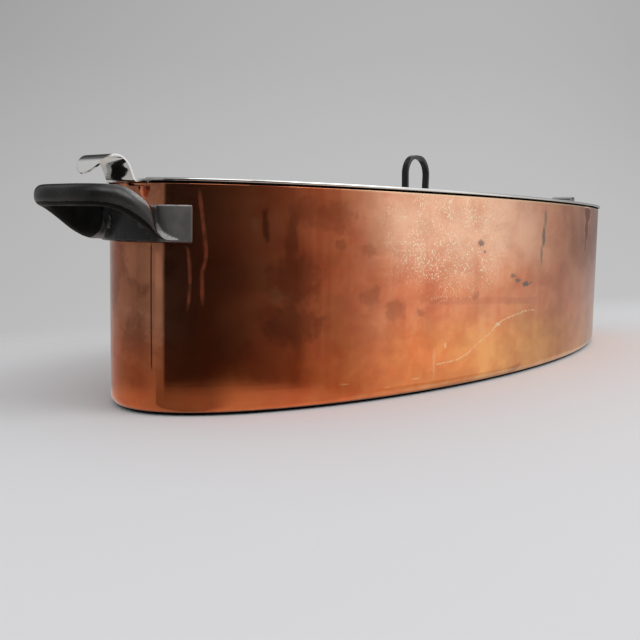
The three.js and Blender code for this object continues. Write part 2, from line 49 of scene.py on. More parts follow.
DOME, DOME_KNEE, KNEE_IN, FLAT_IN = 2.6, 2.1, 58.0, 85.0
LOOP_W, LOOP_WAIST, LOOP_H, LOOP_STRAP, LOOP_THICK = 37.0, 34.5, 32.0, 5.4, 2.8
LOOP_CROWN, LOOP_FOOT, LOOP_RIVET, LOOP_BEND = 14.0, 17.0, 0.55, 3.4
PLATE_T, PLATE_HALF, PLATE_H, PLATE_DROP = 4.0, 33.5, 20.0, 12.5
BOW_REACH, BOW_HALF, BOW_POWER, BOW_SQUARE = 44.4, 31.0, 3.2, 2.15
BOW_DROP, BOW_H, BOW_T = 3.5, 11.2, 9.4
ROOT_T, ROOT_LEAN, ROOT_CURL, ROOT_DEEP, ROOT_SQUARE, CREST_CURL = 4.0, 12.2, 5, 9.0, 5.0, 3.5
TOP_RUN, BOTTOM_RUN, TWIST_RUN = (-3.0, 34.0), (-2.0, 40.0), (0.0, 22.0)
LEAN_RUN, ROOT_RUN = (0.0, 41.0), (0.0, 16.0)
PLATE_EDGE = 0.8
HANDLE_RIVETS, HANDLE_SHANK, HANDLE_HEAD, HANDLE_RISE, RIVET_DROP = 25.0, 2.5, 3.7, 1.6, 9.5
RACK_CLEAR, RACK_T, RACK_LIP, RACK_BEND, RACK_UP = 7.0, 1.2, 5.0, 1.8, 11.0
HOLE_R, HOLE_X, HOLE_Y, HOLE_MARGIN, HOLE_FOOT = 5.0, 48.0, 31.0, 11.0, 2.0
FOOT_X, FOOT_Y, FOOT_R, SPIGOT_R, FOOT_HEAD = 161.0, 46.5, 5.0, 2.2, 4.0
LIFT_W, LIFT_T, LIFT_FOOT, LIFT_BEND, LIFT_CLEAR = 22.0, 1.1, 24.0, 3.0, 5.0
STAND_OFF, HOOK_RISE, HOOK_R = 18.0, {"near": 13.0, "far": 16.0}, 10.4
RISE_ANGLE, FALL_ANGLE, TONGUE, HOOK_FOOT_R, TONGUE_ROUND = 66.0, 50.0, 8.4, 2.5, 11.0
NOTCH_GAP = 1.6
LIP_BEND, DOME_BEND = 0.55, 30
LID_RIVET, LIFTER_RIVET = (2.0, 2.7, 1.3), (1.5, 2.8, 1.0)
LIFTER_RIVET_Y, LIFTER_RIVET_SHARE = 6, 0.6
SHELL_EDGE, STRAP_EDGE, LIFTER_EDGE = 0.25, 0.55, 0.22
WALL_ROW, FLOOR_ROW, RACK_ROW = 64, 60, 40
SHADE_OUT, SHADE_BACK, SHADE_DOWN, SHADE_SIDE = 3, -0.45, -0.5, 0.5
TONGUE_RUN, TRACE_STEP = 7, 0.05

# Rings are parallel to the body's oval up to this far inside the liner, and shrink to the middle beyond
RING_REACH = 11.0

# Voxel of a bail handle's skin, how strongly and how often it is smoothed, and its stations
SKIN_CELL, RELAX, RELAX_TIMES = 0.55, 0.5, 5
BOW_STATIONS, BOW_ROUND, PLATE_STATIONS = 120, 48, 60

# Levels that follow
LINER_OUT = COPPER + GAP
LINER_IN = LINER_OUT + LINER
FLOOR_TOP = COPPER + GAP + LINER
COPPER_TOP = BODY_H - COPPER_DROP
FLANGE_LOW = BODY_H + GAP
FLANGE_TOP = FLANGE_LOW + FLANGE
LID_LOW = FLANGE_TOP + GAP
DOME_TOP = LID_LOW + LID + DOME
RACK_LOW = FLOOR_TOP + RACK_UP
RACK_TOP = RACK_LOW + RACK_T
PLATE_TOP = BODY_H - PLATE_DROP
PLATE_LOW = PLATE_TOP - PLATE_H
LIFT_INSET = LINER_IN + LIFT_CLEAR + LIFT_T / 2
BAND = LINER_IN + RING_REACH
STATIONS = 256
ENDS = ("far", 0.0), ("near", pi)
MM = 0.001


# Shapes
def rounded(corners):
    """A line of 2-D points through (x, y, radius, steps) with its corners rounded."""
    line = []
    for n, (x, y, radius, steps) in enumerate(corners):
        at = Vector((x, y))
        if radius == 0 or n in (0, len(corners) - 1):
            line.append(at)
            continue
        back = (Vector(corners[n - 1][:2]) - at).normalized()
        ahead = (Vector(corners[n + 1][:2]) - at).normalized()
        half = acos(max(-1.0, min(1.0, back.dot(ahead)))) / 2
        centre = at + (back + ahead).normalized() * (radius / sin(half))
        start = at + back * (radius / tan(half)) - centre
        end = at + ahead * (radius / tan(half)) - centre
        sweep = atan2(start.x * end.y - start.y * end.x, start.dot(end))
        for k in range(steps + 1):
            turn = sweep * k / steps
            c, s = cos(turn), sin(turn)
            line.append(centre + Vector((start.x * c - start.y * s, start.x * s + start.y * c)))
    return line


def offset(line, distance):
    moved = []
    for n, point in enumerate(line):
        before = line[n - 1] if n else None
        after = line[n + 1] if n + 1 < len(line) else None
        inward = (point - before).normalized() if before else (after - point).normalized()
        outward = (after - point).normalized() if after else inward
        along = (inward + outward).normalized()
        side = Vector((-along.y, along.x))
        moved.append(point + side * (distance / along.dot(inward)))
    return moved


def sheet_section(corners, thickness, round_ends=0):
    """The outline of a bent sheet, with its first edge rounded where round_ends steps are given."""
    line, half, cap = rounded(corners), thickness / 2, []
    left, right = offset(line, half), offset(line, -half)
    if round_ends:
        away = (line[0] - line[1]).normalized()
        side = right[0] - line[0]
        left[0] -= away * half
        right[0] -= away * half
        middle = line[0] - away * half
        for k in range(1, round_ends):
            turn = pi * k / round_ends
            cap.append(middle + side * cos(turn) + away * half * sin(turn))
    return left + right[::-1] + cap


def oval_speed(angle):
    return hypot(BODY_A * sin(angle), BODY_B * cos(angle))


def oval_angles(count):
    """Angles of the stations round the body, which lie closer at its tight ends."""
    samples = count * 40
    sums = [0.0]
    for k in range(samples):
        angle = (k + 0.5) * 2 * pi / samples
        sums.append(sums[-1] + 1 / sqrt(oval_speed(angle)))
    angles, k = [], 0
    for n in range(count):
        wanted = sums[-1] * n / count
        while sums[k + 1] < wanted:
            k += 1
        share = (wanted - sums[k]) / (sums[k + 1] - sums[k])
        angles.append((k + share) * 2 * pi / samples)
    return angles


ANGLES = oval_angles(STATIONS)


def oval_point(angle, inset):
    c, s = cos(angle), sin(angle)
    length = hypot(BODY_B * c, BODY_A * s)
    return Vector(((BODY_A - inset * BODY_B / length) * c, (BODY_B - inset * BODY_A / length) * s))


def oval_ring(inset, z):
    if inset >= BODY_B - 1e-6:
        return [Vector((0, 0, z))]
    parallel = min(inset, BAND)
    share = (BODY_B - inset) / (BODY_B - parallel)
    return [Vector((*(oval_point(angle, parallel) * share), z)) for angle in ANGLES]


def ring_mesh(rings, loop):
    """Vertices and faces through rings of points, where a ring of one point closes in a fan."""
    points, firsts, faces = [], [], []
    for ring in rings:
        firsts.append(len(points))
        points.extend(ring)
    for k in range(len(rings) if loop else len(rings) - 1):
        m = (k + 1) % len(rings)
        a, b = len(rings[k]), len(rings[m])
        if a + b <= 2:
            continue
        count = max(a, b)
        for i in range(count):
            j = (i + 1) % count
            face = firsts[k] + i % a, firsts[k] + j % a, firsts[m] + j % b, firsts[m] + i % b
            faces.append(list(dict.fromkeys(face)))
    return points, faces


def closed_tube(rings):
    """Vertices and faces through rings of points, with a fan over each end."""
    first, last = ([sum(ring, Vector()) / len(ring)] for ring in (rings[0], rings[-1]))
    return ring_mesh([first, *rings, last], False)


def join(meshes):
    """Several (points, faces) as one."""
    points, faces = [], []
    for more, more_faces in meshes:
        faces += [[len(points) + i for i in face] for face in more_faces]
        points += more
    return points, faces


def circle(radius, z, count, x=0, y=0):
    turns = [2 * pi * k / count for k in range(count)]
    return [Vector((x + radius * cos(t), y + radius * sin(t), z)) for t in turns]


def put(name, data):
    """A new object in the scene."""
    obj = bpy.data.objects.new(name, data)
    bpy.context.scene.collection.objects.link(obj)
    return obj


def posed(x_axis, y_axis, z_axis, place):
    matrix = Matrix((x_axis, y_axis, z_axis)).transposed().to_4x4()
    matrix.translation = place
    return matrix


def make(name, points, faces, matrix=None):
    """An object from points in millimetres."""
    mesh = bpy.data.meshes.new(name)
    mesh.from_pydata([Vector(p) * MM for p in points], [], faces)
    bm = bmesh.new()
    bm.from_mesh(mesh)
    bmesh.ops.recalc_face_normals(bm, faces=bm.faces)
    bm.to_mesh(mesh)
    bm.free()
    if matrix:
        mesh.transform(matrix)
    return put(name, mesh)


def settle(obj):
    """Turns the object's modifiers into its mesh."""
    graph = bpy.context.evaluated_depsgraph_get()
    graph.update()
    mesh = bpy.data.meshes.new_from_object(obj.evaluated_get(graph))
    obj.modifiers.clear()
    obj.data = mesh
    return obj


def modify(obj, kind, **values):
    modifier = obj.modifiers.new(kind, kind)
    for key, value in values.items():
        setattr(modifier, key, value)


def cut(obj, *cutters):
    for cutter in cutters:
        modify(obj, "BOOLEAN", operation="DIFFERENCE", solver="EXACT", object=cutter)
    settle(obj)
    for cutter in cutters:
        bpy.data.objects.remove(cutter)
    return obj


def soften(obj, width, segments=2, limit=40):
    """Rounds the sharp edges by width, in millimetres."""
    angle = radians(limit)
    modify(obj, "BEVEL", width=width * MM, segments=segments, limit_method="ANGLE", angle_limit=angle)
    return settle(obj)


def shade(obj, limit=35):
    """Smooth shading with the edges above limit degrees kept sharp."""
    bm = bmesh.new()
    bm.from_mesh(obj.data)
    for face in bm.faces:
        face.smooth = True
    for edge in bm.edges:
        edge.smooth = edge.calc_face_angle(0) < radians(limit)
    bm.to_mesh(obj.data)
    bm.free()
    return obj


def end_boxes(z0, z1, depth):
    """Boxes that cut the notches for the lifters between two levels."""
    half = LIFT_W / 2 + NOTCH_GAP
    faces = [(0, 1, 3, 2), (4, 6, 7, 5), (0, 4, 5, 1), (2, 3, 7, 6), (0, 2, 6, 4), (1, 5, 7, 3)]
    for end in (-1, 1):
        span = sorted((end * (BODY_A + 2 * LID_OUT), end * (BODY_A - depth)))
        yield make("end_box", [(x, y, z) for x in span for y in (-half, half) for z in (z0, z1)], faces)


def lathe(name, profile, matrix, count=40):
    """A body of (radius, height) points turned about +Z, from one end of the axis to the other."""
    rings = [[Vector((0, 0, z))] if radius < 1e-6 else circle(radius, z, count) for radius, z in profile]
    points, faces = ring_mesh(rings, False)
    return shade(make(name, points, faces, matrix), 50)


def stand_for(obj, node, body, material):
    obj.data.materials.clear()
    obj.data.materials.append(material)
    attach(obj, body)
    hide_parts(node)
    return obj


# Materials
class Nodes:
    """A small helper for node trees."""

    def __init__(self, tree):
        self.tree = tree

    def feed(self, socket, value):
        if isinstance(value, bpy.types.NodeSocket):
            self.tree.links.new(value, socket)
        else:
            socket.default_value = (*value, 1) if socket.type == "RGBA" else value

    def fill(self, node, inputs):
        for key, value in inputs.items():
            self.feed(node.inputs[key], value)

    def add(self, kind, inputs=None, **values):
        """A node with these settings, whose inputs are linked or set."""
        node = self.tree.nodes.new(kind)
        for key, value in values.items():
            setattr(node, key, value)
        self.fill(node, inputs or {})
        return node

    def math(self, operation, *values):
        return self.add("ShaderNodeMath", dict(enumerate(values)), operation=operation).outputs[0]

    def fold(self, operation, values):
        total = values[0]
        for value in values[1:]:
            total = self.math(operation, total, value)
        return total

    def times(self, *values):
        return self.fold("MULTIPLY", values)

    def plus(self, *values):
        return self.fold("ADD", values)

    def most(self, *values):
        return self.fold("MAXIMUM", values)

    def scaled(self, value, factor, offset):
        return self.math("MULTIPLY_ADD", value, factor, offset)

    def span(self, value, low, high, out_low=0.0, out_high=1.0, smooth=True):
        """Out_low at low and out_high at high, with a turn between that is smooth or straight."""
        inputs = {"Value": value, "From Min": low, "From Max": high, "To Min": out_low, "To Max": out_high}
        kind = "SMOOTHSTEP" if smooth else "LINEAR"
        return self.add("ShaderNodeMapRange", inputs, interpolation_type=kind).outputs["Result"]

    def band(self, value, low, full, fading, high):
        """1 from full to fading, and 0 below low and above high."""
        return self.times(self.span(value, low, full), self.span(value, high, fading))

    def mix(self, share, a, b, blend="MIX"):
        inputs = {0: share, 6: a, 7: b}
        return self.add("ShaderNodeMix", inputs, data_type="RGBA", blend_type=blend).outputs[2]

    def tinted(self, a, b):
        return self.mix(1.0, a, b, "MULTIPLY")

    def ramp(self, value, stops):
        """A ramp through stops of (place, grey) or (place, red, green, blue)."""
        node = self.add("ShaderNodeValToRGB", {0: value})
        elements = node.color_ramp.elements
        while len(elements) < len(stops):
            elements.new(0.5)
        for element, (place, *colour) in zip(elements, stops):
            element.position = place
            element.color = (*(colour if len(colour) > 1 else colour * 3), 1)
        return node.outputs[0]

    def split(self, vector):
        return self.add("ShaderNodeSeparateXYZ", {0: vector}).outputs

    def vector(self, operation, *values):
        return self.add("ShaderNodeVectorMath", dict(enumerate(values)), operation=operation).outputs

    def warp(self, vector, scale, amount):
        """The vector, shifted about by noise."""
        noise = self.add("ShaderNodeTexNoise", {"Vector": vector, "Scale": scale, "Detail": 3.0})
        shift = self.vector("MULTIPLY_ADD", noise.outputs["Color"], [amount] * 3, [-amount / 2] * 3)
        return self.vector("ADD", vector, shift[0])[0]

    def curve(self, value, points):
        node = self.add("ShaderNodeFloatCurve", {"Value": value})
        line = node.mapping.curves[0]
        while len(line.points) < len(points):
            line.points.new(0.5, 0.5)
        for point, place in zip(line.points, points):
            point.location = place
        node.mapping.update()
        return node.outputs[0]

    def where(self):
        return self.add("ShaderNodeTexCoord").outputs["Object"]

    def place(self, vector, scale=(1, 1, 1), move=(0, 0, 0), turn=(0, 0, 0)):
        inputs = {"Vector": vector, "Location": move, "Rotation": turn, "Scale": scale}
        return self.add("ShaderNodeMapping", inputs).outputs[0]

    def noise(self, vector, scale, detail, rough, distort=0.0):
        inputs = {"Vector": vector, "Scale": scale, "Detail": detail, "Roughness": rough}
        return self.add("ShaderNodeTexNoise", {**inputs, "Distortion": distort}).outputs["Fac"]

    def bump(self, height, distance, strength, normal=None):
        node = self.add("ShaderNodeBump", {"Strength": strength, "Distance": distance, "Height": height})
        if normal:
            self.feed(node.inputs["Normal"], normal)
        return node.outputs[0]


def material(name):
    made = bpy.data.materials.new(name)
    made.use_nodes = True
    return made, Nodes(made.node_tree), made.node_tree.nodes["Principled BSDF"]


def from_spot(n, mm, x, z, wide, high):
    """How far the point is from the middle of a spot, where 1 is its edge."""
    return n.vector("LENGTH", n.place(mm, (1 / wide, 0, 1 / high), (-x / wide, 0, -z / high)))["Value"]


def place_marks(n, mm, rough, marks):
    """The strongest of soft ragged spots, each (x, z, half width, half height, strength)."""
    away = [(n.plus(from_spot(n, mm, *spot), rough), strength) for *spot, strength in marks]
    return n.most(*(n.span(far, 0.55, 1.25, strength, 0.0) for far, strength in away))


def line_mark(n, across, along, points, width, fade, stray=0.0):
    """A thin mark whose place across follows the points (along, across), and fades at both ends."""
    low, high = points[0][0], points[-1][0]
    least = min(p[1] for p in points)
    reach = max(p[1] for p in points) + 0.001 - least
    share = n.span(along, low, high, smooth=False)
    curve = n.curve(share, [((a - low) / (high - low), (b - least) / reach) for a, b in points])
    middle = n.plus(n.scaled(curve, reach, least), stray)
    off = n.math("ABSOLUTE", n.math("SUBTRACT", across, middle))
    return n.times(n.span(off, width, width * 0.4), n.band(along, low, low + fade, high - fade, high))


# Colours of the copper, where a pair is the darker and the lighter of its patches
NEAR_ORANGE, ORANGE = ((0.76, 0.21, 0.10), (0.82, 0.285, 0.14)), ((0.735, 0.25, 0.118), (0.80, 0.335, 0.165))
NEAR_WARM, WARM = ((0.80, 0.175, 0.065), (0.86, 0.235, 0.085)), ((0.83, 0.315, 0.10), (0.89, 0.415, 0.135))
TAN = (0.46, 0.19, 0.115), (0.80, 0.35, 0.20)
MOTTLE = (0.90, 0.865, 0.84), (1.04, 1.04, 1.04)
FAR_TINT, RUST, HAZE = (1.05, 0.94, 0.85), (0.60, 0.125, 0.060), (0.94, 0.525, 0.345)
TIDE, SPECK, SMUDGE = (0.46, 0.15, 0.075), (0.99, 0.82, 0.58), (0.27, 0.075, 0.04)
DARK_STREAK, STAIN, RED_RUN = (0.085, 0.016, 0.011), (0.12, 0.095, 0.065), (0.44, 0.055, 0.026)
SEAM, SCRATCH, PAINTED_GLINT = (0.12, 0.035, 0.02), (0.99, 0.78, 0.48), (0.98, 0.66, 0.42)
CONTACT_SHADE = (0.030, 0.014, 0.009)

# Where the water specks are densest, as (x, z, half width, half height)
SPECKS = -117.0, 104.0, 66.0, 44.0

# Marks on the copper's front as (x, z, half width, half height, strength), in millimetres
SMUDGES = (
    (-259, 105, 2.6, 8, 0.75), (-242, 75, 16, 15, 0.5), (-243, 50, 18, 11, 0.5), (-215.7, 94, 4, 4, 0.35),
    (-194.5, 92, 5, 5, 0.3), (-192, 64, 8, 7, 0.35), (-173.7, 55, 9, 6, 0.35), (-92.9, 60, 4.5, 2.6, 0.35),
    (-150.8, 53, 4.5, 2, 0.35), (-34.7, 5.4, 9, 3, 0.4), (-275, 40, 10, 12, 0.35), (-225, 112, 22, 9, 0.35),
)
DARK_STREAKS = (126, 121, 15, 9, 0.95), (124, 108, 9, 12, 0.95), (122, 97, 4, 11, 0.9)
STAINS = (
    (-89, 96.4, 4.2, 2.6, 0.75), (-83.7, 90.3, 2.6, 1.7, 0.6), (9.7, 115, 3.0, 8, 0.8),
    (7.4, 102, 3.4, 9, 0.9), (4.4, 88, 2.4, 7, 0.75), (-43.5, 72.8, 4.2, 1.9, 0.75),
    (-35.4, 69.4, 4.5, 1.9, 0.85), (-22, 66.3, 6.0, 1.9, 0.95), (-13.3, 66.7, 3, 1.4, 0.7),
)
STROKES = (
    (-62.8, 39.5, 2.9, 1.3, 0.75), (-66.5, 38.2, 1.6, 0.9, 0.6), (-59.0, 41.2, 2.0, 0.8, 0.6),
    (-210.5, 13, 4, 0.5, 0.25), (-153.7, 11, 4, 0.5, 0.3), (-177.8, 8, 3, 0.5, 0.2),
    (-126, 30, 1.0, 1.8, 0.4), (-137, 20, 1.6, 10, 0.16), (-264.6, 106, 2.4, 4, 0.15), (-254, 66, 5, 5, 0.1),
)

# Lines of marks: TIDE_LINE and SCRATCH_LINE as (x, z), SEAM_LINE as (z, y), the others as (z, x)
TIDE_LINE = (-165, 61), (-110, 58), (-60, 56), (10, 53)
STREAK_LINE = (24, -243), (70, -244.5), (125, -244)
LONG_RED_LINE = (60, -287.2), (78, -287.6), (88, -286.2), (100, -286.8), (114, -287.9), (126, -288.9)
SHORT_RED_LINE = (56, -293.1), (66, -292.4), (78, -292.1), (95, -294.5)
SEAM_LINE = (24, -14.6), (60, -14.3), (97, -14.6)
SCRATCH_LINE = (
    (-137.7, 18.2), (-118.1, 18.9), (-103.7, 21.6), (-88.5, 28.5), (-73.4, 34.2), (-64.2, 39.1),
    (-53.1, 42.6), (-38, 44.5), (-21.8, 46.4), (-0.2, 45.8),
)


class CopperFields:
    """What the copper's layers share: the place in millimetres, noises and regions."""

    def __init__(self, n):
        self.mm = n.place(n.where(), [1 / MM] * 3)
        self.x, self.y, self.z = n.split(self.mm)
        self.patch = n.noise(self.mm, 0.036, 5, 0.65, 0.4)
        self.fine = n.noise(self.mm, 0.21, 4, 0.6)
        self.wander = n.scaled(n.noise(self.mm, 0.010, 5, 0.6), 60.0, -30.0)
        self.ragged = n.scaled(self.fine, 1.6, -0.8)
        self.front = n.span(self.y, -2.0, -9.0)
        self.beyond = n.plus(self.x, self.wander)
        self.level = n.plus(self.z, self.wander)
        self.right = n.span(self.beyond, -250.0, -40.0)
        spread = n.times(n.span(self.beyond, -214.0, -160.0), n.span(self.beyond, -45.0, 45.0, 1.0, 0.28))
        self.haze = n.times(n.span(self.level, 66.0, 102.0), spread, n.span(self.patch, 0.25, 0.6, 0.7, 1.0))


def copper_coat(n, f):
    """The colour of the copper before its marks."""
    # Orange metal, redder and browner at the near end, warmer low down and yellower beyond
    base = n.mix(n.span(f.patch, 0.32, 0.68), *NEAR_ORANGE)
    base = n.mix(f.right, base, n.mix(n.span(f.patch, 0.32, 0.68), *ORANGE))
    near_end = n.span(f.x, -288.0, -299.0)
    base = n.mix(n.times(near_end, 0.8), base, n.mix(n.span(f.patch, 0.42, 0.58), *TAN))
    low = n.span(f.level, 60.0, 20.0)
    warm = n.mix(n.span(f.patch, 0.35, 0.65), *NEAR_WARM)
    warm = n.mix(f.right, warm, n.mix(n.span(f.patch, 0.35, 0.65), *WARM))
    base = n.mix(low, base, warm)
    upright = n.noise(n.place(f.mm, (0.06, 0.06, 0.0035)), 1.0, 4, 0.6)
    rusty = n.times(n.span(upright, 0.52, 0.68), n.scaled(low, -0.28, 0.42), n.scaled(f.right, -0.45, 1.0))
    base = n.mix(rusty, base, RUST)

    # A pale pink haze on the upper part of the middle, thinner to the far end
    base = n.mix(f.haze, base, HAZE)

    # A faint level line where liquid has stood, mottling all over, and redder towards the far end
    tide = line_mark(n, f.z, f.x, TIDE_LINE, 3.2, 35, n.times(f.wander, 0.12))
    base = n.mix(n.times(tide, f.front, 0.34), base, TIDE)
    mottle = n.noise(n.place(f.mm, (0.034, 0.034, 0.060)), 1.0, 3, 0.5, 0.4)
    base = n.tinted(base, n.mix(n.span(mottle, 0.36, 0.62), *MOTTLE))
    base = n.mix(n.span(f.x, -40.0, 70.0), base, n.tinted(base, FAR_TINT))

    # Pale water specks
    specks = n.times(
        n.span(n.noise(f.mm, 0.78, 2, 0.5), 0.545, 0.61),
        n.span(from_spot(n, f.mm, *SPECKS), 1.3, 0.45),
        n.span(n.noise(f.mm, 0.09, 3, 0.6), 0.40, 0.58, 0.25, 1.0),
    )
    return n.mix(n.times(specks, 0.9), base, SPECK)


def copper_material():
    made, n, shader = material("aged_copper")
    f = CopperFields(n)
    base = copper_coat(n, f)

    # Brown smudges, grey stains and dark streaks
    bent = n.warp(f.mm, 0.07, 9.0)
    streak = line_mark(n, f.x, f.z, STREAK_LINE, 4.5, 22, f.wander)
    brown = n.most(place_marks(n, bent, f.ragged, SMUDGES), n.times(streak, 0.45))
    base = n.mix(n.times(brown, f.front), base, SMUDGE)
    dark_streaks = n.times(place_marks(n, bent, n.times(f.ragged, 0.6), DARK_STREAKS), f.front)
    base = n.mix(dark_streaks, base, DARK_STREAK)
    grey = n.times(place_marks(n, n.warp(f.mm, 0.16, 4.0), f.ragged, STAINS), f.front)
    base = n.mix(grey, base, STAIN)

    # Red runs where a drip has lifted the tarnish, and the dark seam beside them
    bright = n.most(
        line_mark(n, f.x, f.z, LONG_RED_LINE, 1.0, 8),
        line_mark(n, f.x, f.z, SHORT_RED_LINE, 0.8, 6),
    )
    bright = n.times(bright, f.front, n.span(f.fine, 0.35, 0.62, 0.08, 0.62))
    base = n.mix(bright, base, RED_RUN)
    seam = n.times(line_mark(n, f.y, f.z, SEAM_LINE, 0.55, 5), n.span(f.x, -290, -296))
    base = n.mix(n.times(seam, 0.9), base, SEAM)

    # A long pale scratch that rises to the right, and short strokes
    grit = n.noise(f.mm, 0.62, 2, 0.5)
    scratch = line_mark(n, f.z, f.x, SCRATCH_LINE, 0.62, 9, n.scaled(f.fine, 2.8, -1.4))
    scratch = n.times(scratch, n.span(grit, 0.36, 0.62, 0.15, 0.85), 0.9)
    floor_tone_and_shade = n.times(n.most(scratch, place_marks(n, f.mm, f.ragged, STROKES)), f.front)
    base = n.mix(floor_tone_and_shade, base, SCRATCH)

    # Painted shade, near black, where the wall bends under; a painted reflection as a bright line above it,
    # and a painted highlight along the upper edge
    wear_and_glint = n.times(n.band(f.z, 3.4, 4.4, 5.0, 6.6), f.right, n.span(f.patch, 0.3, 0.6, 0.1, 0.5))
    edge = n.times(n.span(f.z, 125.6, 126.4), n.span(f.x, -240.0, -150.0, 0.0, 0.8))
    base = n.mix(n.most(wear_and_glint, edge), base, PAINTED_GLINT)
    contact_shade = n.span(n.plus(f.z, n.times(f.ragged, 0.5)), 3.4, 1.8)
    base = n.mix(n.times(contact_shade, 0.94), base, CONTACT_SHADE)

    dull = n.most(contact_shade, n.times(grey, 0.75), n.times(bright, 0.4), dark_streaks)
    metal = n.span(dull, 0.0, 1.0, 0.98, 0.05, smooth=False)
    rough = n.scaled(f.right, 0.10, n.span(f.patch, 0.3, 0.75, 0.035, 0.075))
    rough = n.plus(rough, n.times(f.haze, 0.08), n.times(n.most(dull, floor_tone_and_shade), 0.25))
    normal = n.bump(n.noise(n.place(f.mm, (0.014, 0.014, 0.006)), 1.0, 2, 0.5), 0.0005, 0.4)
    normal = n.bump(n.noise(n.place(f.mm, (0.010, 0.010, 0.5)), 1.0, 3, 0.6), 0.00001, 0.3, normal)
    normal = n.bump(n.math("SUBTRACT", f.fine, n.times(floor_tone_and_shade, 0.5)), 0.00003, 0.06, normal)
    n.fill(shader, {"Base Color": base, "Metallic": metal, "Roughness": rough, "Normal": normal})
    return made


def steel_material(name, colour, smooth, rough, brushed):
    """Steel with a brushed grain, whose roughness wanders from smooth to rough."""
    made, n, shader = material(name)
    at = n.where()
    cloud = n.noise(at, 22.0, 4, 0.6)
    darker = tuple(c * 0.88 for c in colour)
    grain = n.noise(n.place(at, brushed), 1.0, 3, 0.6)
    wear_and_glint = n.plus(n.times(grain, 0.6), n.times(cloud, 0.4))
    n.fill(shader, {
        "Base Color": n.mix(n.span(cloud, 0.35, 0.7), darker, colour),
        "Metallic": 1.0,
        "Roughness": n.span(wear_and_glint, 0.3, 0.7, smooth, rough),
        "Normal": n.bump(grain, 0.00002, 0.25),
    })
    return made


# Colours of the iron: cast skin, a painted sheen on the flat tabs of the back plate, painted shade in deep
# recesses, a painted highlight that is partly worn paint on the ridges, and worn places
CAST, TAB_SHEEN = ((0.010, 0.0098, 0.0095), (0.019, 0.0185, 0.018)), ((0.085, 0.080, 0.076), (0.140, 0.132, 0.127))
RECESS_SHADE, RIDGE_HIGHLIGHT_AND_WEAR = (0.002, 0.002, 0.002), (0.50, 0.495, 0.49)
RUBBED, HAIR = (0.14, 0.135, 0.125), (0.12, 0.11, 0.105)


def iron_material():
    made, n, shader = material("black_iron")
    at = n.where()
    cloud = n.span(n.noise(at, 45.0, 4, 0.6), 0.35, 0.7)
    grain = n.noise(at, 900.0, 3, 0.6)
    pits = n.noise(at, 260.0, 3, 0.55)
    along, across = (n.math("ABSOLUTE", part) for part in n.split(at)[:2])
    # Painted sheen: the flat tabs of the back plate are a lighter grey for the bright reflection they catch
    tab_sheen = n.times(n.span(across, 0.0205, 0.0235), n.span(along, 0.3125, 0.3085))
    base = n.mix(tab_sheen, n.mix(cloud, *CAST), n.mix(cloud, *TAB_SHEEN))

    # Painted shade: darker and duller in recesses, by ambient occlusion
    recess = n.add("ShaderNodeAmbientOcclusion", {"Distance": 0.03}, samples=8)
    open_air = n.span(recess.outputs["AO"], 0.20, 0.70)
    base = n.mix(open_air, RECESS_SHADE, base)

    # A painted highlight, partly worn paint, along the arms' upper ridges; worn bright on sharp edges, with
    # hair scratches
    geometry = n.add("ShaderNodeNewGeometry")
    facing = n.split(geometry.outputs["Normal"])[2]
    ridge_highlight_and_wear = n.times(
        n.span(facing, 0.30, 0.75), n.span(across, 0.014, 0.027), n.span(along, 0.337, 0.326),
        n.span(grain, 0.30, 0.62, 0.25, 0.9),
    )
    base = n.mix(ridge_highlight_and_wear, base, RIDGE_HIGHLIGHT_AND_WEAR)
    rubbed = n.times(n.span(geometry.outputs["Pointiness"], 0.53, 0.60), n.span(grain, 0.35, 0.6), 0.5)
    base = n.mix(rubbed, base, RUBBED)
    hairs = n.noise(n.place(at, (300, 300, 700), turn=(0.5, 0.3, 0)), 1.0, 2, 0.6)
    base = n.mix(n.times(n.span(hairs, 0.66, 0.74), 0.25), base, HAIR)

    rough = n.plus(n.span(pits, 0.3, 0.7, 0.24, 0.34), n.scaled(open_air, -0.5, 0.5))
    normal = n.bump(grain, 0.00005, 0.35, n.bump(pits, 0.00012, 0.25))
    n.fill(shader, {"Base Color": base, "Metallic": 0.0, "Roughness": rough, "Normal": normal})
    return made


def dull_black(name, specular, grain, colours, roughness, pits, depth, strength):
    """A dull black coat for painted shade, whose pits are a noise's scale, detail and roughness."""
    made, n, shader = material(name)
    at = n.where()
    cloud = n.noise(at, grain, 4, 0.6)
    shader.inputs["Specular IOR Level"].default_value = specular
    n.fill(shader, {
        "Base Color": n.mix(n.span(cloud, 0.4, 0.7), *colours),
        "Roughness": n.span(cloud, 0.3, 0.7, *roughness),
        "Normal": n.bump(n.noise(at, *pits), depth, strength),
    })
    return made


COPPER_LOOK = copper_material()
STEEL_LOOK = steel_material("satin_steel", (0.80, 0.80, 0.785), 0.16, 0.28, (420, 30, 420))
POLISHED_LOOK = steel_material("polished_steel", (0.88, 0.88, 0.87), 0.04, 0.08, (60, 900, 60))
# A darker copy of the polished steel for the far lifter: painted shade
SHADED_STEEL_LOOK = steel_material("shaded_copy_steel", (0.36, 0.36, 0.355), 0.10, 0.18, (60, 900, 60))
IRON_LOOK = iron_material()

# Painted shade: near black in the narrow gap under the rim, on the underside where the wall meets the floor,
# and inside the bail handles
GAP_SHADE_LOOK = dull_black(
    "painted_gap_shade", 0.0, 160.0, ((0.004, 0.004, 0.004), (0.014, 0.011, 0.009)), (0.55, 0.8),
    (160.0, 4, 0.6), 0.0001, 0.4,
)
HOLLOW_SHADE_LOOK = dull_black(
    "painted_hollow_shade", 0.12, 90.0, ((0.002, 0.002, 0.002), (0.007, 0.0068, 0.0065)), (0.5, 0.7),
    (260.0, 3, 0.55), 0.00012, 0.25,
)


# Kettle
def oval_sheet(name, corners, thickness, round_ends=0):
    section = sheet_section(corners, thickness, round_ends)
    return make(name, *ring_mesh([oval_ring(p.x, p.y) for p in section], True))


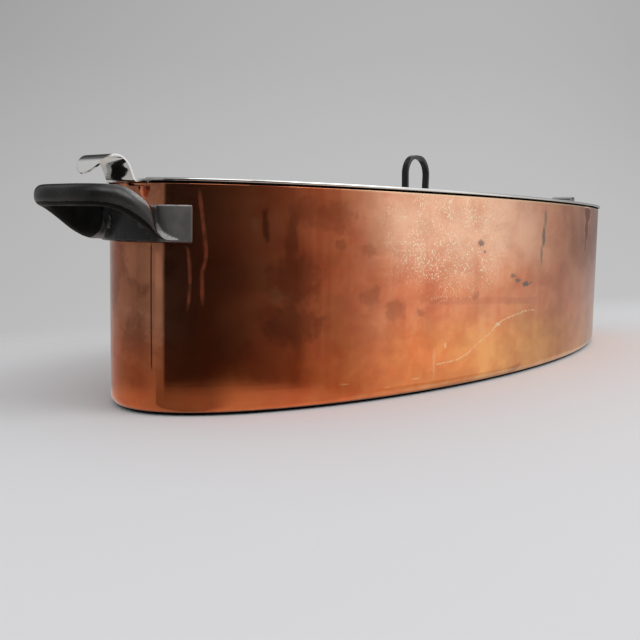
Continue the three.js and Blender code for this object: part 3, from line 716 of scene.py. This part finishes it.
def copper_shell():
    middle = COPPER / 2
    shell = oval_sheet("copper_shell_look", [
        (middle, COPPER_TOP, 0, 0),
        (middle, WALL_ROW, 0, 0),
        (middle, BASE_BEND + 4, 0, 0),
        (middle, BASE_BEND + 2, 0, 0),
        (middle, middle, BASE_BEND, 10),
        (FLOOR_ROW, middle, 0, 0),
        (BODY_B, middle, 0, 0),
    ], COPPER)
    return shade(soften(shell, SHELL_EDGE))


def steel_liner():
    wall, floor = LINER_OUT + LINER / 2, FLOOR_TOP - LINER / 2
    radius = BASE_BEND - wall + COPPER / 2
    line = rounded([
        (wall, FLANGE_LOW, 0, 0),
        (wall, COPPER_TOP - 1, 0, 0),
        (wall, BASE_BEND + 3, 0, 0),
        (wall, floor, radius, 8),
        (BODY_B, floor, 0, 0),
    ])
    inner, outer = offset(line, LINER / 2), offset(line, -LINER / 2)
    if inner[0].x < outer[0].x:
        inner, outer = outer, inner
    inset, level = LINER_IN - FLANGE_BEND, FLANGE_TOP - FLANGE_BEND
    bend = [
        Vector((inset + FLANGE_BEND * cos(t), level + FLANGE_BEND * sin(t)))
        for t in (radians(d) for d in range(0, 91, 15))
    ]
    half = FLANGE / 2
    edge = [
        Vector((-FLANGE_OUT + half - half * sin(t), FLANGE_LOW + half + half * cos(t)))
        for t in (radians(d) for d in range(0, 181, 30))
    ]
    section = inner[1:][::-1] + bend + edge + [Vector((LINER_OUT, FLANGE_LOW))] + outer[1:]
    liner = make("steel_liner_look", *ring_mesh([oval_ring(p.x, p.y) for p in section], True))
    cut(liner, *end_boxes(COPPER_TOP, FLANGE_TOP + 1, LINER_IN + LIFT_CLEAR))
    return shade(liner)


def coat(obj, look, covers):
    """Gives the look to each face that covers picks by its centre, in millimetres, and its normal."""
    obj.data.materials.append(look)
    for face in obj.data.polygons:
        if covers(face.center / MM, face.normal):
            face.material_index = 1


def out_of_oval(centre, inset):
    """How far out the centre lies, where the oval at the inset is 1."""
    return hypot(centre.x / (BODY_A - inset), centre.y / (BODY_B - inset))


def darken(obj, low, high, inset):
    """Painted shade: near black on the faces between two levels and outside the inset oval."""
    coat(obj, GAP_SHADE_LOOK, lambda at, normal: low < at.z < high and out_of_oval(at, inset) > 1.001)


def blacken_inside(obj, end):
    """Painted shade: near black on the faces of a bail handle that look down, back to the body or to the
    handle's middle.
    """
    def in_hollow_shade(at, normal):
        back, down = end * normal.x < SHADE_BACK, normal.z < SHADE_DOWN
        to_middle = normal.y * at.y < 0 and abs(normal.y) > SHADE_SIDE
        return end * at.x - BODY_A > SHADE_OUT and (back or down or to_middle)

    coat(obj, HOLLOW_SHADE_LOOK, in_hollow_shade)


def lid_plate():
    level = LID_LOW + LID / 2
    start = LINER_IN + LID_CLEAR + LID / 2
    end = start + BEAD_WIDE
    lip = LID / 2 - LID_OUT
    lid = oval_sheet("lid_plate_look", [
        (lip, LID_LOW + LID - LIP_DEEP, 0, 0),
        (lip, level, LIP_BEND, 5),
        (start, level, BEAD_BEND, 5),
        (start, level - BEAD_DEEP, BEAD_BEND, 5),
        (end, level - BEAD_DEEP, BEAD_BEND, 5),
        (end, level, BEAD_BEND, 5),
        (KNEE_IN, level + DOME_KNEE, DOME_BEND, 6),
        (FLAT_IN, level + DOME, DOME_BEND, 3),
        (BODY_B, level + DOME, 0, 0),
    ], LID, 8)
    deep = LIFT_INSET + LIFT_T / 2 + NOTCH_GAP
    cut(lid, *end_boxes(level - 2 * BEAD_DEEP, DOME_TOP + 1, deep))
    return shade(lid)


def strap(name, line, thickness, width, edge):
    """A straight strap of the given width in Y along a line in (x, z)."""
    left, right = offset(line, thickness / 2), offset(line, -thickness / 2)
    rings = []
    for a, b in zip(left, right):
        rings.append([
            Vector((a.x, -width / 2, a.y)), Vector((a.x, width / 2, a.y)),
            Vector((b.x, width / 2, b.y)), Vector((b.x, -width / 2, b.y)),
        ])
    points, faces = ring_mesh(rings, False)
    last = len(points)
    faces += [[0, 1, 2, 3], [last - 1, last - 2, last - 3, last - 4]]
    return shade(soften(make(name, points, faces), edge, 4, 50), 50)


def lid_handle():
    half = LOOP_THICK / 2
    foot = DOME_TOP + GAP + half
    crown = DOME_TOP + GAP + LOOP_H - half
    out = LOOP_WAIST / 2 + LOOP_FOOT
    right = [
        (out, foot, 0, 0),
        (LOOP_WAIST / 2 - half, foot, LOOP_BEND, 10),
        (LOOP_W / 2 - half, crown, LOOP_CROWN, 20),
    ]
    left = [(-x, *rest) for x, *rest in right]
    return strap("lid_handle_look", rounded(left + right[::-1]), LOOP_THICK, LOOP_STRAP, STRAP_EDGE)


# Bail handles
def ease(value, run):
    share = max(0.0, min(1.0, (value - run[0]) / (run[1] - run[0])))
    return share * share * (3 - 2 * share)


def blend(a, b, share):
    return a + (b - a) * share


def bow_ring(point, outward):
    """The section of the bow at a point of its plan: thin, square and leaning near the root."""
    out = point.x
    twist = ease(out, TWIST_RUN)
    top = blend(PLATE_TOP - PLATE_EDGE, BODY_H - BOW_DROP, ease(out, TOP_RUN))
    low = blend(PLATE_LOW + PLATE_EDGE, BODY_H - BOW_DROP - BOW_H, ease(out, BOTTOM_RUN))
    thick = blend(ROOT_T, BOW_T, twist)
    square = blend(ROOT_SQUARE, BOW_SQUARE, twist)
    lean = blend(ROOT_LEAN, 0, ease(out, LEAN_RUN))
    ring = []
    for k in range(BOW_ROUND):
        angle = 2 * pi * k / BOW_ROUND
        s, c = sin(angle), cos(angle)
        up = copysign(abs(s) ** (2 / square), s)
        side = copysign(abs(c) ** (2 / square), c)
        crest = ((1 + up) / 2) ** CREST_CURL
        foot = 1 - ((1 - up) / 2) ** ROOT_CURL
        shift = side * thick / 2 - lean * blend(foot, crest, ease(out, ROOT_RUN))
        x, y = BODY_A + point.x + outward.x * shift, point.y + outward.y * shift
        ring.append(Vector((x, y, blend(low, top, (1 + up) / 2))))
    return ring


def bow_mesh():
    plan = []
    for k in range(BOW_STATIONS + 1):
        angle = pi * (k / BOW_STATIONS - 0.5)
        across = abs(sin(angle) / BOW_HALF) ** BOW_POWER
        along = abs(cos(angle) / BOW_REACH) ** BOW_POWER
        radius = (across + along) ** (-1 / BOW_POWER)
        plan.append(Vector((radius * cos(angle), radius * sin(angle))))
    root = Vector((-ROOT_DEEP, BOW_HALF))
    plan = [Vector((root.x, -root.y)), *plan, root]
    rings = []
    for n, point in enumerate(plan):
        before, after = plan[max(n - 1, 0)], plan[min(n + 1, len(plan) - 1)]
        along = (after - before).normalized()
        rings.append(bow_ring(point, Vector((along.y, -along.x))))
    return closed_tube(rings)


def plate_mesh():
    low, high = -GAP, -GAP - PLATE_T
    section = [(low, PLATE_LOW + 0.3), (low, PLATE_TOP - 0.3)]
    for centre, turn0 in ((PLATE_TOP - PLATE_EDGE, 90), (PLATE_LOW + PLATE_EDGE, 0)):
        for step in range(5):
            t = radians(turn0 - 90 * step / 4)
            section.append((high + PLATE_EDGE - PLATE_EDGE * cos(t), centre + PLATE_EDGE * sin(t)))
    edge = asin(PLATE_HALF / BODY_B)
    rings = []
    for k in range(PLATE_STATIONS + 1):
        angle = blend(-edge, edge, k / PLATE_STATIONS)
        rings.append([Vector((*oval_point(angle, inset), z)) for inset, z in section])
    return closed_tube(rings)


def outside_wall(point):
    """The point, or the nearest one outside the wall's gap along the line to the middle."""
    share = hypot(point.x / (BODY_A + GAP), point.y / (BODY_B + GAP))
    if share >= 1:
        return point
    return Vector((point.x / share, point.y / share, point.z))


def handle(name, turn):
    points, faces = bow_mesh()
    obj = make(name, *join([([outside_wall(p) for p in points], faces), plate_mesh()]))
    modify(obj, "REMESH", mode="VOXEL", voxel_size=SKIN_CELL * MM)
    modify(obj, "SMOOTH", factor=RELAX, iterations=RELAX_TIMES)
    settle(obj)
    obj.data.transform(Matrix.Rotation(turn, 4, "Z"))
    return shade(obj, 80)


def handle_rivet_places():
    """(name, frame, radius of the wall) of each rivet, where the frame's +Z points out of the wall."""
    for end, turn in ENDS:
        for side in (-1, 1):
            angle = asin(side * HANDLE_RIVETS / 2 / BODY_B)
            point = oval_point(angle, 0)
            ahead = oval_point(angle, -1) - point
            out = Vector((ahead.x, ahead.y, 0)).normalized()
            up = Vector((0, 0, 1))
            place = point.x * MM, point.y * MM, (PLATE_TOP - RIVET_DROP) * MM
            matrix = posed(up.cross(out), up, out, place)
            bend = oval_speed(angle) ** 3 / (BODY_A * BODY_B)
            actual = side if end == "far" else -side
            name = f"{end}_handle_rivet_{'front' if actual < 0 else 'back'}"
            yield name, Matrix.Rotation(turn, 4, "Z") @ matrix, bend


def rivet_profile(shank, head, rise, low, high):
    """(radius, height) points of a rivet with two low domed heads."""
    steps = 8
    turns = [pi / 2 * k / steps for k in range(steps + 1)]
    dome = [(head * cos(t), rise * sin(t)) for t in turns]
    under = [(r, low - h) for r, h in dome][::-1]
    over = [(r, high + h) for r, h in dome]
    return under + [(shank, low), (shank, high)] + over


# Rack and lifters
def foot_profile():
    """(radius, height) points of a rack foot: a stud, a spigot through the rack and a head over it."""
    low, high, head = FLOOR_TOP + GAP, RACK_LOW - GAP, RACK_TOP + GAP
    return [
        (0, low), (FOOT_R * 0.7, low), (FOOT_R - 0.6, low + 0.7), (FOOT_R, low + 2), (FOOT_R, high - 0.4),
        (FOOT_R - 0.4, high), (SPIGOT_R, high), (SPIGOT_R, head), (FOOT_HEAD, head),
        (FOOT_HEAD * 0.9, head + 0.45), (FOOT_HEAD * 0.6, head + 0.85), (0, head + 1),
    ]


def hole_places():
    feet = [(sx * FOOT_X, sy * FOOT_Y) for sx in (-1, 1) for sy in (-1, 1)]
    clear = LINER_IN + RACK_CLEAR + HOLE_MARGIN
    rows, columns = int(BODY_B // HOLE_Y), int(BODY_A // HOLE_X)
    for row in range(-rows, rows + 1):
        for column in range(-columns, columns + 1):
            x, y = (column + row % 2 / 2) * HOLE_X, row * HOLE_Y
            inside = (x / (BODY_A - clear)) ** 2 + (y / (BODY_B - clear)) ** 2 < 1
            footed = any(hypot(x - a, y - b) < FOOT_R + HOLE_R + HOLE_FOOT for a, b in feet)
            lifted = abs(y) < LIFT_W / 2 + HOLE_R and abs(x) > BODY_A - LIFT_INSET - LIFT_FOOT - 2 * HOLE_R
            if inside and not footed and not lifted:
                yield x, y


def rack_plate():
    edge, level = LINER_IN + RACK_CLEAR, RACK_TOP - RACK_T / 2
    rack = oval_sheet("rack_plate_look", [
        (edge, RACK_TOP - RACK_LIP, 0, 0),
        (edge, level, RACK_BEND, 6),
        (RACK_ROW, level, 0, 0),
        (BODY_B, level, 0, 0),
    ], RACK_T)
    low, high = RACK_LOW - 1, RACK_TOP + 1
    holes = []
    for x, y in hole_places():
        walls = [circle(HOLE_R, z, 28, x, y) for z in (low, high)]
        holes.append(ring_mesh([[Vector((x, y, low))], *walls, [Vector((x, y, high))]], False))
    cut(rack, make("holes", *join(holes)))
    return shade(rack)


def lifter_line(end):
    foot = RACK_TOP + GAP + LIFT_T / 2
    rim = COPPER_TOP + GAP + LIFT_T / 2
    riser = BODY_A - LIFT_INSET
    rise, fall = radians(RISE_ANGLE), radians(FALL_ANGLE)
    arc = BODY_H + HOOK_RISE[end] - HOOK_R - LIFT_T / 2
    reach = HOOK_R / cos((rise + fall) / 2)
    middle = (fall - rise) / 2
    crown = Vector((BODY_A + STAND_OFF + reach * sin(middle), arc + reach * cos(middle)))
    hook = crown.x - (crown.y - rim) / tan(rise)
    tongue = HOOK_R * tan((rise + fall) / 2) + TONGUE
    tip = crown + Vector((cos(fall), -sin(fall))) * tongue
    return rounded([
        (riser - LIFT_FOOT, foot, 0, 0), (riser, foot, LIFT_BEND, 10), (riser, rim, LIFT_BEND, 10),
        (hook, rim, HOOK_FOOT_R, 8), (crown.x, crown.y, HOOK_R, 40), (tip.x, tip.y, 0, 0),
    ])


class Path:
    """A 2-D line read by its length."""

    def __init__(self, line):
        self.line = line
        self.at = [0.0]
        for a, b in zip(line, line[1:]):
            self.at.append(self.at[-1] + (b - a).length)
        self.length = self.at[-1]

    def point(self, s):
        s = max(0.0, min(self.length, s))
        for n in range(len(self.line) - 1):
            if s <= self.at[n + 1] + 1e-9:
                share = (s - self.at[n]) / max(self.at[n + 1] - self.at[n], 1e-9)
                return self.line[n].lerp(self.line[n + 1], share)
        return self.line[-1]

    def normal(self, s):
        along = (self.point(s + 0.25) - self.point(s - 0.25)).normalized()
        return Vector((-along.y, along.x))


def lifter(end, turn):
    path = Path(lifter_line(end))
    limit = path.line[-1].x + LIFT_T / 2 - TONGUE_ROUND

    def end_at(y):
        wanted = limit + TONGUE_ROUND * sqrt(max(0.0, 1 - (2 * y / LIFT_W) ** 2)) - LIFT_T / 2
        s = path.length
        while s > 0 and path.point(s).x > wanted:
            s -= TRACE_STEP
        return s

    start = end_at(LIFT_W / 2) - TONGUE_RUN
    along, across = 150, 28
    stations = [path.length * k / along for k in range(along + 1)]
    rows = [-LIFT_W / 2 * cos(pi * k / across) for k in range(across + 1)]
    points = []
    for side in (0.5, -0.5):
        for y in rows:
            last = end_at(y)
            for s in stations:
                here = s if s < start else start + (s - start) * (last - start) / (path.length - start)
                p = path.point(here) + path.normal(here) * (LIFT_T * side)
                points.append(Vector((p.x, y, p.y)))

    def quad(*corners):
        return [(side * (across + 1) + row) * (along + 1) + s for side, row, s in corners]

    faces = []
    for side in (0, 1):
        for row in range(across):
            a, b = (side, row), (side, row + 1)
            faces += [quad((*a, s), (*b, s), (*b, s + 1), (*a, s + 1)) for s in range(along)]
    for row in (0, across):
        faces += [quad((0, row, s), (0, row, s + 1), (1, row, s + 1), (1, row, s)) for s in range(along)]
    for s in (0, along):
        faces += [quad((0, row, s), (0, row + 1, s), (1, row + 1, s), (1, row, s)) for row in range(across)]
    obj = make(f"{end}_lifter_look", points, faces, Matrix.Rotation(turn, 4, "Z"))
    return shade(soften(obj, LIFTER_EDGE, 3, 50), 50)


# Pieces
shell = stand_for(copper_shell(), "copper_shell", "kettle", COPPER_LOOK)
# Painted shade, near black, on the underside where the wall bends down to the floor
darken(shell, -1, 2.0, 12)
liner = stand_for(steel_liner(), "steel_liner", "kettle", STEEL_LOOK)
# Painted shade, near black, in the narrow gap under the rim
darken(liner, COPPER_TOP - 2, FLANGE_LOW + 0.1, LINER_IN)
lid = stand_for(lid_plate(), "lid_plate", "lid", STEEL_LOOK)
coat(lid, POLISHED_LOOK, lambda at, normal: out_of_oval(at, LINER_IN) > 1)
stand_for(lid_handle(), "lid_handle", "lid", IRON_LOOK)
stand_for(rack_plate(), "rack_plate", "rack", STEEL_LOOK)
for end, turn in ENDS:
    bail = stand_for(handle(f"{end}_handle_look", turn), f"{end}_handle", "kettle", IRON_LOOK)
    # Painted shade, near black, inside the bail handle
    blacken_inside(bail, 1 if end == "far" else -1)
    # The far lifter has painted shade: a darker copy of the polished steel
    strip_look = SHADED_STEEL_LOOK if end == "far" else POLISHED_LOOK
    stand_for(lifter(end, turn), f"{end}_lifter", "rack", strip_look)

for name, matrix, bend in handle_rivet_places():
    hollow = HANDLE_HEAD**2 / (2 * (bend - LINER_IN))
    inside, outside = -(LINER_IN + hollow + GAP), GAP + PLATE_T + GAP
    profile = rivet_profile(HANDLE_SHANK, HANDLE_HEAD, HANDLE_RISE, inside, outside)
    stand_for(lathe(f"{name}_look", profile, matrix), name, "kettle", IRON_LOOK)


def steel_pin(name, body, profile, x, y):
    place = Matrix.Translation((x * MM, y * MM, 0))
    stand_for(lathe(f"{name}_look", profile, place), name, body, STEEL_LOOK)


loop_foot = LOOP_WAIST / 2 + LOOP_FOOT * LOOP_RIVET
lifter_foot = BODY_A - LIFT_INSET - LIFT_FOOT * LIFTER_RIVET_SHARE
lid_rivet = rivet_profile(*LID_RIVET, DOME_TOP - LID - GAP, DOME_TOP + 2 * GAP + LOOP_THICK)
lifter_rivet = rivet_profile(*LIFTER_RIVET, RACK_LOW - GAP, RACK_TOP + 2 * GAP + LIFT_T)
for end, sign in (("near", -1), ("far", 1)):
    steel_pin(f"lid_rivet_{end}", "lid", lid_rivet, sign * loop_foot, 0)
    for side, y in (("front", -1), ("back", 1)):
        steel_pin(f"{end}_lifter_rivet_{side}", "rack", lifter_rivet, sign * lifter_foot, y * LIFTER_RIVET_Y)
        steel_pin(f"rack_foot_{end}_{side}", "rack", foot_profile(), sign * FOOT_X, y * FOOT_Y)


# Camera, in millimetres, degrees and, for its roll, radians
LENS, SENSOR = 49.83, 36
EYE, YAW, PITCH, ROLL = (-635.3, -372.3, 103.6), 53.684, 5.829, -0.0166


def camera():
    data = bpy.data.cameras.new("camera")
    data.lens, data.sensor_width = LENS, SENSOR
    data.clip_start, data.clip_end = 0.01, 100
    yaw, pitch = radians(YAW), radians(PITCH)
    ahead = Vector((sin(yaw) * cos(pitch), cos(yaw) * cos(pitch), -sin(pitch)))
    across = Vector((cos(yaw), -sin(yaw), 0))
    upward = across.cross(ahead)
    side = across * cos(ROLL) - upward * sin(ROLL)
    top = across * sin(ROLL) + upward * cos(ROLL)
    obj = put("camera", data)
    obj.matrix_world = posed(side, top, -ahead, Vector(EYE) * MM)
    bpy.context.scene.camera = obj


# Studio

# Radius of the floor in metres, its corners, and the direction over it from front to back
FLOOR_RADIUS, FLOOR_CORNERS = 3.0, 96
BACKWARD = 0.264, 0.965


def floor():
    """A pale floor, a little darker towards the back as painted shade, that the camera stops seeing far
    behind the kettle.
    """
    ring = [point / MM for point in circle(FLOOR_RADIUS, 0, FLOOR_CORNERS)]
    obj = make("floor", *ring_mesh([[Vector((0, 0, 0))], ring], False))
    obj.visible_glossy = False
    made, n, shader = material("pale_floor")
    behind = n.plus(*(n.times(part, share) for part, share in zip(n.split(n.where()), BACKWARD)))
    rays = n.add("ShaderNodeLightPath")
    faded = n.times(n.span(behind, 0.12, 0.36), rays.outputs["Is Camera Ray"])
    # Painted shade: the floor is a little darker behind the kettle
    floor_tone_and_shade = n.mix(n.span(behind, -0.15, 0.0), (0.725, 0.725, 0.733), (0.70, 0.70, 0.705))
    n.fill(shader, {"Base Color": floor_tone_and_shade, "Roughness": 0.9})
    clear = n.add("ShaderNodeBsdfTransparent")
    both = n.add("ShaderNodeMixShader", {0: faded, 1: shader.outputs[0], 2: clear.outputs[0]})
    n.fill(made.node_tree.nodes["Material Output"], {"Surface": both.outputs[0]})
    obj.data.materials.append(made)


# The room round the object, as (degrees, grey) or (degrees, red, green, blue)
WALLS = (
    (-180, 0.235), (-171, 0.22), (-167.5, 0.020, 0.016, 0.013), (-140, 0.014, 0.011, 0.009),
    (-124, 0.024, 0.018, 0.014), (-112, 0.050, 0.038, 0.028), (-98, 0.10, 0.08, 0.065),
    (-87, 0.15, 0.11, 0.085), (-82, 0.29, 0.23, 0.19), (-73, 0.37, 0.31, 0.26), (-64, 0.60), (-56, 0.86),
    (-34, 0.86), (-24, 0.57), (-14, 0.38), (5, 0.33), (35, 0.42), (70, 0.38), (110, 0.27), (155, 0.20),
    (180, 0.235),
)
CEILING = (
    (-180, 0.60), (-60, 0.90), (-25, 1.1), (35, 0.9), (50, 0.20), (60, 0.06), (76, 0.10), (91, 0.56),
    (112, 0.52), (132, 0.24), (160, 0.24), (180, 0.60),
)
GROUND = (
    (-180, 0.16, 0.145, 0.13), (-167, 0.17, 0.155, 0.14), (-124, 0.23, 0.21, 0.185),
    (-111, 0.46, 0.415, 0.37), (-99, 0.46, 0.415, 0.37), (-90, 0.48, 0.43, 0.385), (-82, 0.50, 0.46, 0.41),
    (-67, 0.55, 0.50, 0.45), (-55, 0.65, 0.60, 0.54), (-36, 0.70, 0.65, 0.58), (-14, 0.53, 0.50, 0.46),
    (5, 0.55, 0.52, 0.48), (40, 0.60, 0.58, 0.56), (180, 0.30, 0.28, 0.26),
)
SOFT = (-180, 0.62), (-165, 0.46), (-110, 0.46), (-90, 0.62), (-60, 0.74), (0, 0.70), (180, 0.62)

# The backdrop from low to high, as (place, grey)
BACKDROP = (
    (0.0, 0.60), (0.13, 0.59), (0.235, 0.558), (0.295, 0.539), (0.355, 0.527), (0.444, 0.524),
    (0.503, 0.512), (0.56, 0.497), (0.644, 0.468), (0.716, 0.456), (1.0, 0.40),
)


def studio():
    """The world: the room, the backdrop that the camera sees and the light on matt surfaces."""
    world = bpy.data.worlds.new("studio")
    world.use_nodes = True
    bpy.context.scene.world = world
    w = Nodes(world.node_tree)
    backing = world.node_tree.nodes["Background"]
    dx, dy, dz = w.split(w.add("ShaderNodeTexCoord").outputs["Generated"])
    turn = w.scaled(w.math("ARCTAN2", dy, dx), 0.5 / pi, 0.5)

    def around(stops):
        return w.ramp(turn, [((degrees + 180) / 360, *colour) for degrees, *colour in stops])

    # What polished metal sees round the room: dark at one side, bright windows at another
    room = around(WALLS)
    dim = w.times(w.band(turn, 0.606, 0.628, 0.711, 0.728), w.band(dz, 0.06, 0.15, 0.53, 0.61))
    room = w.mix(dim, room, (0.05, 0.05, 0.05))
    room = w.mix(w.span(dz, 0.48, 0.61), room, around(CEILING))

    # Up and down the room: darker overhead at the dark side and the far end, lighter at the near end
    steep = w.plus(
        w.times(w.span(dz, -0.15, 0.03, 0.25, -0.25), w.band(turn, 0.030, 0.036, 0.18, 0.24)),
        w.times(w.span(dz, -0.09, 0.03, 0.32, -0.30), w.band(turn, 0.455, 0.475, 0.56, 0.60)),
        w.times(w.span(dz, -0.22, -0.04, -0.30, 0.34), w.span(turn, 0.028, 0.022)),
    )
    room = w.mix(w.span(dz, 0.08, 0.16), w.tinted(room, w.plus(steep, 1.0)), room)
    room = w.mix(w.span(dz, -0.172, -0.185), room, around(GROUND))

    # What the camera sees behind the floor, a little darker to both sides
    behind = w.ramp(w.span(dz, -0.30, 0.45, smooth=False), BACKDROP)
    degrees = w.scaled(turn, 360.0, -180.0)
    left = w.times(
        w.math("POWER", w.span(degrees, 28.0, 56.0, smooth=False), 2.0),
        w.span(dz, -0.03, 0.237, 0.10, 0.22, smooth=False), w.span(degrees, 170.0, 90.0),
    )
    right = w.times(
        w.math("POWER", w.span(degrees, 16.7, 28.0, 1.0, 0.0, smooth=False), 2.0),
        w.span(dz, -0.034, 0.12, 0.0, 0.09, smooth=False), w.span(degrees, -170.0, -60.0),
    )
    behind = w.tinted(behind, w.math("SUBTRACT", w.math("SUBTRACT", 1.0, left), right))

    # Light on matt surfaces: even, and weaker from the dark side of the room
    soft = around(SOFT)
    soft = w.mix(w.span(dz, 0.15, 0.6), soft, (0.66, 0.665, 0.68))
    paths = w.add("ShaderNodeLightPath")
    colour = w.mix(paths.outputs["Is Glossy Ray"], soft, room)
    w.fill(backing, {"Color": w.mix(paths.outputs["Is Camera Ray"], colour, behind), "Strength": 1.0})


def softbox(name, place, size, power):
    data = bpy.data.lights.new(name, "AREA")
    data.shape = "SQUARE"
    data.size = size
    data.energy = power
    light = put(name, data)
    light.location = place
    light.rotation_euler = (Vector((0, 0, 0.05)) - Vector(place)).to_track_quat("-Z", "Y").to_euler()


camera()
floor()
studio()
softbox("key", (0.45, -1.5, 1.6), 1.3, 13)
softbox("front", (-0.9, -1.1, 1.7), 1.2, 6)

settings = bpy.context.scene.view_settings
settings.view_transform = "Standard"
